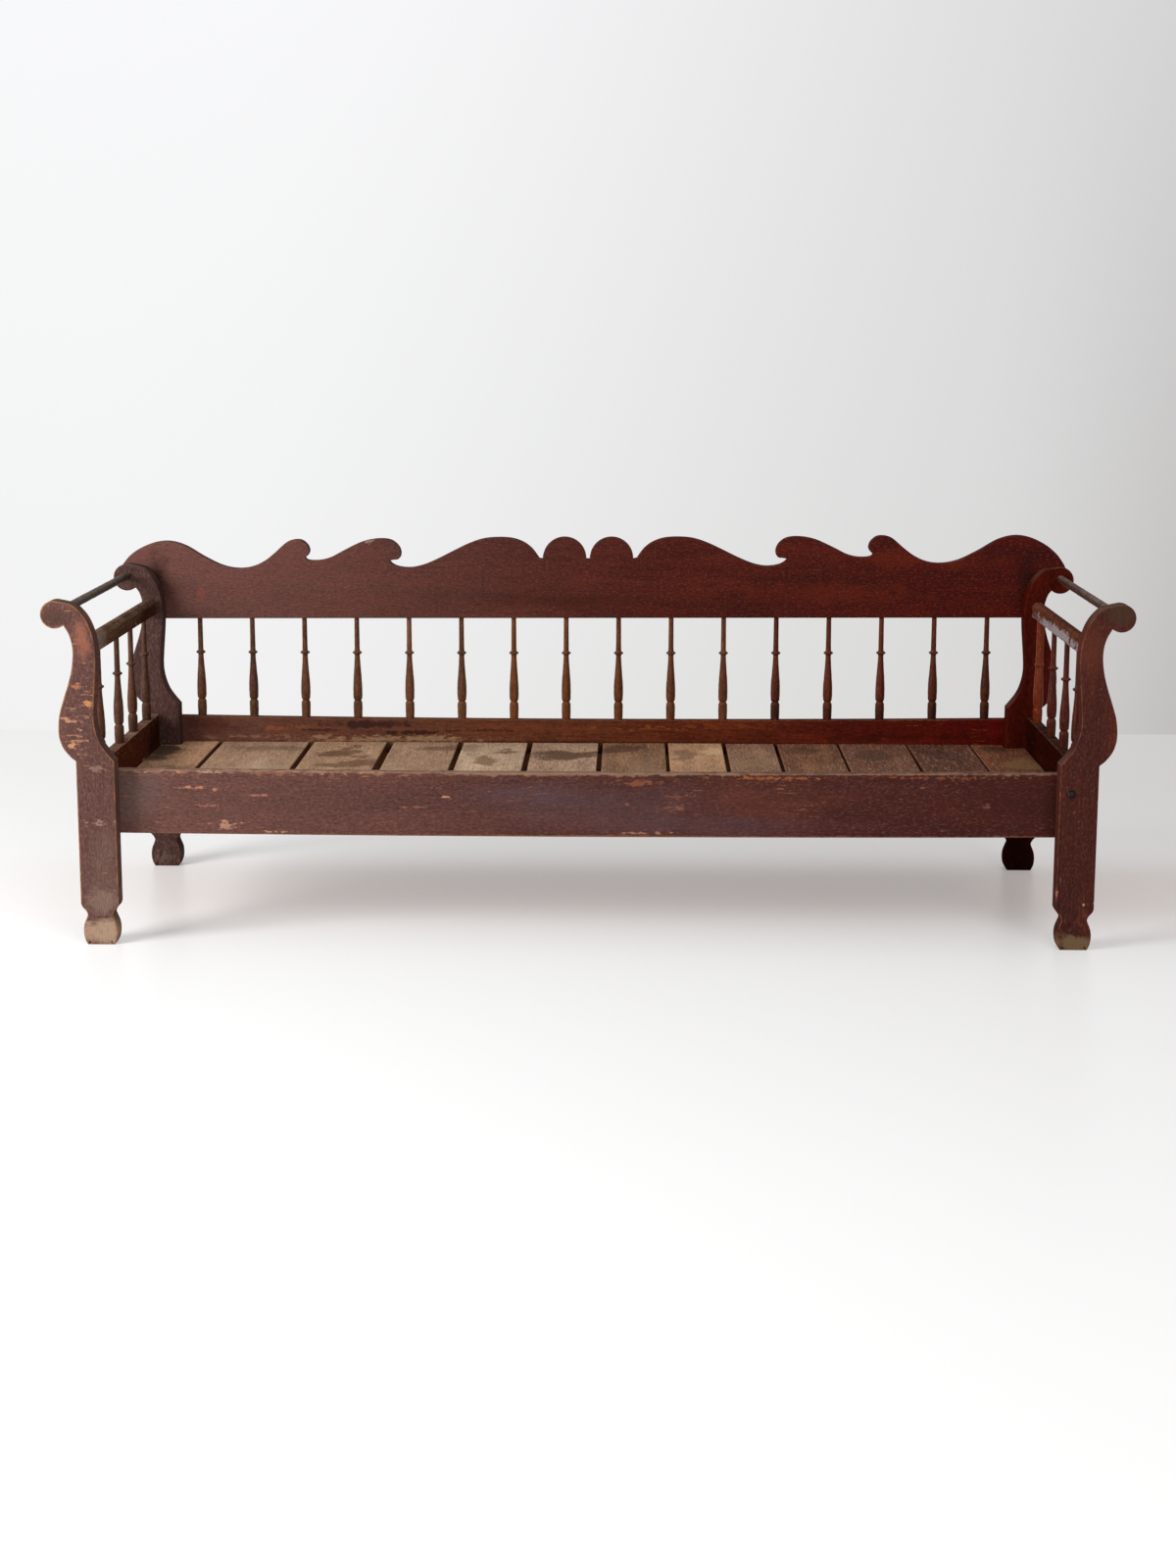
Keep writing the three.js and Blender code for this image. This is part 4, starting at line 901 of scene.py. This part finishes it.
rod_looks = {
    "left_arm_rod": (("2c2018", "43342a", "5e4c3a"), "75634a"),
    "right_arm_rod": (("28120c", "3c1e16", "50302a"), "6b4a40"),
}
for rod_name, (tones, bare) in rod_looks.items():
    rod_side = -1 if "left" in rod_name else 1
    rod = turned(rod_name + "_round", np.linspace(*ROD_ENDS_Y, ROD_STATIONS), np.full(ROD_STATIONS, ROD_RADIUS),
                 "Y", (rod_side * HEAD_X, 0, HEAD_HEIGHT), seed=5.0 + rod_side, waver=0.04)
    stain(rod, rod_name, rod_name + "_stain", "Y", "turned_wood", tones=tones, bare=bare, dust=0.35, gloss=0.5,
          face=None, seed=31.0 + rod_side)

# Back spindles. Sixteen turned spindles, with a plain foot, a groove, a long belly and a thin ring, glued
# in holes in the back rail and the crest board.
SPINDLE_RADIUS, SPINDLE_FOOT_TENON, SPINDLE_TOP_TENON, SPINDLE_SUNK = 0.0092, 0.005, 0.0042, 0.008
TURNING = [
    (0, 0.92), (0.03, 0.94), (0.08, 0.97), (0.13, 0.97), (0.152, 0.94), (0.163, 0.84), (0.172, 0.74),
    (0.179, 0.75), (0.187, 0.88), (0.198, 0.94), (0.23, 0.99), (0.28, 1), (0.34, 0.97), (0.4, 0.885),
    (0.46, 0.785), (0.52, 0.69), (0.57, 0.62), (0.61, 0.575), (0.626, 0.57), (0.634, 0.64), (0.64, 0.67),
    (0.643, 0.86), (0.648, 0.98), (0.656, 1), (0.662, 0.93), (0.667, 0.7), (0.675, 0.6), (0.7, 0.565),
    (0.8, 0.545), (0.9, 0.53), (1, 0.52),
]
BACK_SPINDLE_Y = BACK_RAIL_FACE + RAIL_THICKNESS / 2
FIRST_BACK_SPINDLE_X, BACK_SPINDLES = 0.783, 16
# Painted shade and grime at the spindle feet: how high it lies and how far it reaches.
SHADE_AND_GRIME_HEIGHT, SHADE_AND_GRIME_REACH = 0.302, (5, 5, 0.05)


def turning(table, exposed):
    """Places along the axis and radii of a spindle, from inside its lower hole to inside its upper."""
    shares = smooth_through(table, 5)
    along = np.concatenate([[-SPINDLE_SUNK], shares[:, 0] * exposed, [exposed + SPINDLE_SUNK]])
    radius = np.concatenate([[SPINDLE_FOOT_TENON], shares[:, 1] * SPINDLE_RADIUS, [SPINDLE_TOP_TENON]])
    keep = np.concatenate([[True], np.diff(along) > 1e-7])
    return along[keep], radius[keep]


def turned_stain(name, tones, bare, seed, gloss=0.4, shade_and_grime=0.0):
    """The stain of the turned pieces, darkened at their feet by painted shade where they stand in a rail, and by
    grime.
    """
    return stained_wood(name, "Z", tones, bare, wear=0.45, scuffs=0.1, mottle=0.6, dust=0.1, gloss=gloss,
                        face=None, seed=seed, specks=0.05,
                        patches=[((0, 0, SHADE_AND_GRIME_HEIGHT), SHADE_AND_GRIME_REACH, 0.2, "160804", shade_and_grime, 0.95)])


# Three stains across the back, darker and redder to the right: partly the spindles' own colour, and partly
# painted shade away from the window.
spindle_stains = [
    turned_stain("spindle_stain_left", ("3d2215", "5c3721", "794d32"), "8a6040", 41.0),
    turned_stain("spindle_stain_middle", ("3e1e10", "5c3018", "78451f"), "86562e", 43.0),
    turned_stain("spindle_stain_right", ("341006", "4e1e0b", "682e12"), "7c4520", 47.0, shade_and_grime=0.6),
]
spindle_xs = np.linspace(-FIRST_BACK_SPINDLE_X, FIRST_BACK_SPINDLE_X, BACK_SPINDLES)
for number, spindle_x in enumerate(spindle_xs.tolist(), 1):
    spindle_foot = BACK_RAIL_Z[1] - BACK_RAIL_SAG * (1 - (spindle_x / BACK_RAIL_REACH) ** 2)
    spindle_top = CREST_BOTTOM + CREST_TILT * spindle_x / CREST_END
    spindle = turned(f"back_spindle_turned_{number}", *turning(TURNING, spindle_top - spindle_foot), "Z",
                     (spindle_x, BACK_SPINDLE_Y, spindle_foot), seed=float(number), waver=0.03)
    stand_in(spindle, f"back_spindle_{number}",
             spindle_stains[(number - 1) * len(spindle_stains) // BACK_SPINDLES])

# Arm spindles. Four on each side, turned like the back ones and drilled in by eye. The last on the right
# is a later one in orange wood, with its ring lower down.
ARM_SPINDLE_SHARES = {"left": (0.16, 0.434, 0.651, 0.877), "right": (0.183, 0.392, 0.63, 0.902)}
LATER_TURNING = [
    (0, 0.93), (0.04, 0.98), (0.09, 1), (0.125, 0.99), (0.14, 0.93), (0.15, 0.97), (0.17, 1.02), (0.24, 1.06),
    (0.32, 1.04), (0.4, 0.95), (0.48, 0.84), (0.53, 0.78), (0.553, 0.78), (0.558, 0.86), (0.563, 0.95),
    (0.572, 0.98), (0.58, 0.94), (0.586, 0.82), (0.6, 0.78), (0.7, 0.77), (0.85, 0.76), (1, 0.75),
]
arm_stains = {
    "left": turned_stain("left_arm_spindle_stain", ("2c170e", "462818", "5e3a26"), "7c563a", 55.0, 0.4, 0.4),
    "later": turned_stain("later_spindle_stain", ("4c1604", "6a2408", "84380e"), "b07c4c", 53.0, 0.25),
    "right": turned_stain("right_arm_spindle_stain", ("2c0c06", "461409", "5e2212"), "7c4634", 57.0, 0.3, 0.5),
}
between_posts = BACK_POST_FRONT - POST_FRONT - POST_THICKNESS
for side_name, shares in ARM_SPINDLE_SHARES.items():
    spindle_x = ARM_RAIL_MIDDLE * (-1 if side_name == "left" else 1)
    for number, share in enumerate(shares, 1):
        is_later = side_name == "right" and number == len(shares)
        foot = (spindle_x, POST_FRONT + POST_THICKNESS + share * between_posts, SIDE_RAIL_Z[1])
        profile = turning(LATER_TURNING if is_later else TURNING, ARM_RAIL_Z[0] - SIDE_RAIL_Z[1])
        spindle = turned(f"{side_name}_arm_spindle_turned_{number}", *profile, "Z", foot,
                         seed=20.0 + number, waver=0.03)
        stand_in(spindle, f"{side_name}_arm_spindle_{number}",
                 arm_stains["later" if is_later else side_name])

# Seat boards. Thirteen loose, unfinished boards across the bench with uneven gaps, grey with age and
# stained by spills. The end ones are notched round the back posts.
SEAT_TOP, SEAT_THICKNESS, SEAT_REACH, SEAT_GAP = 0.249, 0.020, 0.8595, 0.010
SEAT_FRONT, SEAT_BACK = POST_FRONT + 0.0606, POST_FRONT + 0.678
NOTCH_X, NOTCH_Y = 0.8195, POST_FRONT + 0.638
SEAT_GAP_PLACES = [-0.865, -0.654, -0.47, -0.305, -0.144, 0.02, 0.173, 0.306, 0.426, 0.571, 0.73, 0.877]
SEAT_GAP_WIDTHS = [
    (0.8, 0.8), (1.1, 1), (1.5, 1.4), (1, 1), (1.1, 1), (0.9, 0.9), (0.7, 0.6), (0.8, 0.8), (0.7, 0.7),
    (0.5, 0.4), (1.1, 0.3), (0.4, 0.3),
]
STAIN_DEPTH = 0.05
BARE_RUB, BARE_PORE, SAWN_EDGE = "9b8b79", "2c211a", "5a3016"
BARE_PALE_SPECK, BARE_DARK_SPECK = "cbbaa4", "2e1f14"


def bare_wood(name, tones, stains, seed, grain="Y"):
    """Unfinished weathered wood: dry fibre, blotches and water stains, and no gloss."""
    material, shade = blank_material(name)
    place = shade.place()
    along = turned_to(shade, shade.parts(place), grain)
    colour, wood, _ = grained(shade, along, seed, seed + 2.0, tones, 0.72, (0.6, 0.36, 0.0, 0.45), 0.7, 0.45)
    speck = shade.use(speck_group, Along=shade.vector("MULTIPLY", along, (0.3, 1.2, 1.2)), Seed=seed)
    colour = shade.layered(colour, BARE_PALE_SPECK, speck["Pale"], 0.35)
    colour = shade.layered(colour, BARE_DARK_SPECK, speck["Dark"], 0.5)
    for x, y, wide, deep, ragged, stain_colour, strength in stains:
        mask = patch_mask(shade, place, along, (x, y, SEAT_TOP), (wide, deep, STAIN_DEPTH), ragged, 0.42, 0.15)
        colour = shade.layered(colour, stain_colour, mask, strength)
    colour = shade.layered(colour, BARE_RUB, shade.use(rub_group, Place=place, Wear=0.5)["Mask"], 0.35)
    colour = shade.layered(colour, SAWN_EDGE, shade.eased(shade.facing()["Z"], 0.8, 0.45))
    colour = shade.layered(colour, BARE_PORE, wood["Pores"], 0.4)
    rough = shade.eased(wood["Fibre"], 0.3, 0.7, 0.72, 0.9)
    shade.surfaced(colour, rough, wood["Height"], 0.5, 0.001, Specular_IOR_Level=0.1)
    return material


def seat_outline(left, right):
    """The four corners of a board from above, and its notch where it reaches past a back post."""
    left_back = [(-NOTCH_X, SEAT_BACK), (-NOTCH_X, NOTCH_Y), (left[1], NOTCH_Y)] if left[1] < -NOTCH_X \
        else [(left[1], SEAT_BACK)]
    right_back = [(right[1], NOTCH_Y), (NOTCH_X, NOTCH_Y), (NOTCH_X, SEAT_BACK)] if right[1] > NOTCH_X \
        else [(right[1], SEAT_BACK)]
    return [(left[0], SEAT_FRONT), (right[0], SEAT_FRONT), *right_back, *left_back]


# The boards grow darker to the right: partly their own colour, and partly painted shade away from the window.
seat_looks = [  # tones, and stains with their place and reach in X and Y
    (("a67a5d", "cb9b77", "e8b78f"), [
        (-0.84, 0.25, 0.07, 0.12, 0.7, "2e2016", 0.8), (-0.85, 0.22, 0.06, 0.16, 0.6, "4c382a", 0.75),
        (-0.80, 0.0, 0.10, 0.10, 0.8, "6e543f", 0.5)]),
    (("93715a", "b68f72", "d1ab8b"), [
        (-0.66, 0.25, 0.12, 0.04, 0.9, "6b5140", 0.5), (-0.62, 0.02, 0.08, 0.10, 0.9, "b49a80", 0.5)]),
    (("99745a", "bd9471", "ddb491"), [
        (-0.49, 0.20, 0.08, 0.07, 0.9, "6c4b35", 0.85), (-0.45, 0.08, 0.08, 0.05, 0.9, "70503a", 0.8),
        (-0.43, 0.29, 0.07, 0.03, 0.8, "a58c70", 0.7), (-0.54, -0.1, 0.05, 0.12, 0.8, "a18870", 0.5)]),
    (("8f6d56", "b18d6f", "cea88a"), [
        (-0.30, 0.25, 0.06, 0.04, 0.9, "6c503a", 0.7), (-0.37, 0.0, 0.05, 0.12, 0.8, "b59c82", 0.5)]),
    (("95775f", "c3a488", "e5c6a6"), [
        (-0.24, 0.24, 0.04, 0.06, 0.8, "8a745e", 0.7), (-0.2, 0.12, 0.03, 0.06, 0.7, "76583f", 0.75),
        (-0.16, 0.22, 0.03, 0.05, 0.8, "6a4c36", 0.75), (-0.22, -0.12, 0.06, 0.08, 0.7, "bba78e", 0.6)]),
    (("896854", "b59376", "dcb699"), [
        (-0.05, 0.18, 0.07, 0.08, 0.8, "5c4130", 0.9), (-0.03, 0.31, 0.08, 0.025, 0.8, "a8927a", 0.7),
        (-0.08, -0.1, 0.06, 0.10, 0.7, "a38d76", 0.5)]),
    (("694734", "886246", "a37856"), [
        (0.06, 0.25, 0.06, 0.05, 0.8, "503424", 0.75), (0.10, 0.0, 0.04, 0.18, 0.7, "8e735a", 0.5)]),
    (("997355", "bc8e6b", "deae83"), [
        (0.24, 0.24, 0.03, 0.05, 0.7, "cdb088", 0.7), (0.18, 0.2, 0.03, 0.08, 0.8, "6d5440", 0.6),
        (0.2, -0.1, 0.05, 0.08, 0.7, "b89c7a", 0.6)]),
    (("6b4834", "8f6953", "b3886b"), [
        (0.30, 0.10, 0.05, 0.10, 0.8, "8f7254", 0.6), (0.30, -0.15, 0.03, 0.06, 0.8, "ad9474", 0.6)]),
    (("5c3723", "794b31", "966343"), [(0.42, 0.24, 0.05, 0.05, 0.8, "3e2a1c", 0.5)]),
    (("5a3524", "754734", "8e5c44"), [(0.55, 0.2, 0.06, 0.08, 0.8, "3c281c", 0.5)]),
    (("4a2518", "623624", "764530"), [(0.68, 0.22, 0.06, 0.06, 0.8, "38241a", 0.5)]),
    (("5b2d1a", "784126", "965532"), [
        (0.83, 0.10, 0.05, 0.10, 0.7, "86653f", 0.7), (0.80, 0.27, 0.06, 0.04, 0.7, "3a2417", 0.6),
        (0.862, 0.2, 0.004, 0.4, 0.4, "8f7a62", 0.8)]),
]
gap_x = [place * SEAT_REACH for place in SEAT_GAP_PLACES]
gap_half = [[width * SEAT_GAP / 2 for width in widths] for widths in SEAT_GAP_WIDTHS]
lefts = [(-SEAT_REACH, -SEAT_REACH)] + [(x + f, x + b) for x, (f, b) in zip(gap_x, gap_half)]
rights = [(x - f, x - b) for x, (f, b) in zip(gap_x, gap_half)] + [(SEAT_REACH, SEAT_REACH)]
for number, (left, right, (tones, stains)) in enumerate(zip(lefts, rights, seat_looks), 1):
    thinner = 0.0008 * abs(math.sin(2.3 * number))
    board = sawn_board(f"seat_board_sawn_{number}", seat_outline(left, right), SEAT_TOP - SEAT_THICKNESS,
                       SEAT_TOP - thinner, normal="Z", arris=0.0018, step=0.008, seed=float(number), wear=0.6)
    stand_in(board, f"seat_board_{number}", bare_wood(
        f"seat_board_wood_{number}", tones, stains, 60.0 + 1.3 * number))

# Ledgers. Two strips glued along the inner faces of the front and back rails, under the seat boards.
ledger_wood = bare_wood("ledger_wood", ("4b3428", "5f4535", "705542"), [], 80.0, grain="X")
for ledger_name in ("front_ledger", "back_ledger"):
    low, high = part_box(ledger_name)
    ledger_corners = [(low.x, low.z), (high.x, low.z), (high.x, high.z), (low.x, high.z)]
    strip = sawn_board(ledger_name + "_sawn", ledger_corners, low.y, high.y, arris=0.0015, step=0.01, seed=12.0)
    stand_in(strip, ledger_name, ledger_wood)

# Bolt, washer, nut and wood screws. A low domed carriage bolt holds the front rail to the right post, and
# a countersunk screw, driven from behind, each other lap. All are blackened iron.
BOLT_X, BOLT_Z = 0.8415, 0.278
BOLT_HEAD_RADIUS, BOLT_HEAD_HEIGHT, BOLT_RADIUS, BOLT_CHAMFER = 0.007, 0.004, 0.004, 0.001
DOME_TIP = 0.0004

iron, shade = blank_material("blackened_iron")
pits = shade.noise(shade.place(), 420.0, 4.0, 0.7)
rust = shade.eased(shade.noise(shade.place(), 90.0, 3.0), 0.45, 0.62)
colour = shade.layered("191513", "2e2825", shade.eased(pits, 0.3, 0.7))
colour = shade.layered(colour, "4a2a1b", rust, 0.6)
shade.surfaced(colour, shade.eased(pits, 0.3, 0.7, 0.34, 0.6), pits, 0.4, 0.0002,
               Metallic=shade.eased(rust, 0.2, 0.8, 0.9, 0.2))

dome_turn = np.linspace(0, math.pi / 2, 9)
bolt_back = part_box("rail_bolt")[1].y
bolt_along = np.concatenate([POST_FRONT - FIT - BOLT_HEAD_HEIGHT * np.cos(dome_turn),
                             [POST_FRONT - 0.0002, bolt_back - BOLT_CHAMFER, bolt_back]])
bolt_radius = np.concatenate([np.maximum(BOLT_HEAD_RADIUS * np.sin(dome_turn), DOME_TIP),
                              [BOLT_RADIUS, BOLT_RADIUS, BOLT_RADIUS - BOLT_CHAMFER]])
bolt = turned("rail_bolt_forged", bolt_along, bolt_radius, "Y", (BOLT_X, 0, BOLT_Z), sides=32)
stand_in(bolt, "rail_bolt", iron)
for fixing in ("bolt_washer", "bolt_nut", "front_rail_screw", "back_rail_screw_1", "back_rail_screw_2",
               "crest_screw_1", "crest_screw_2"):
    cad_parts[fixing].data.materials.clear()
    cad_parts[fixing].data.materials.append(iron)
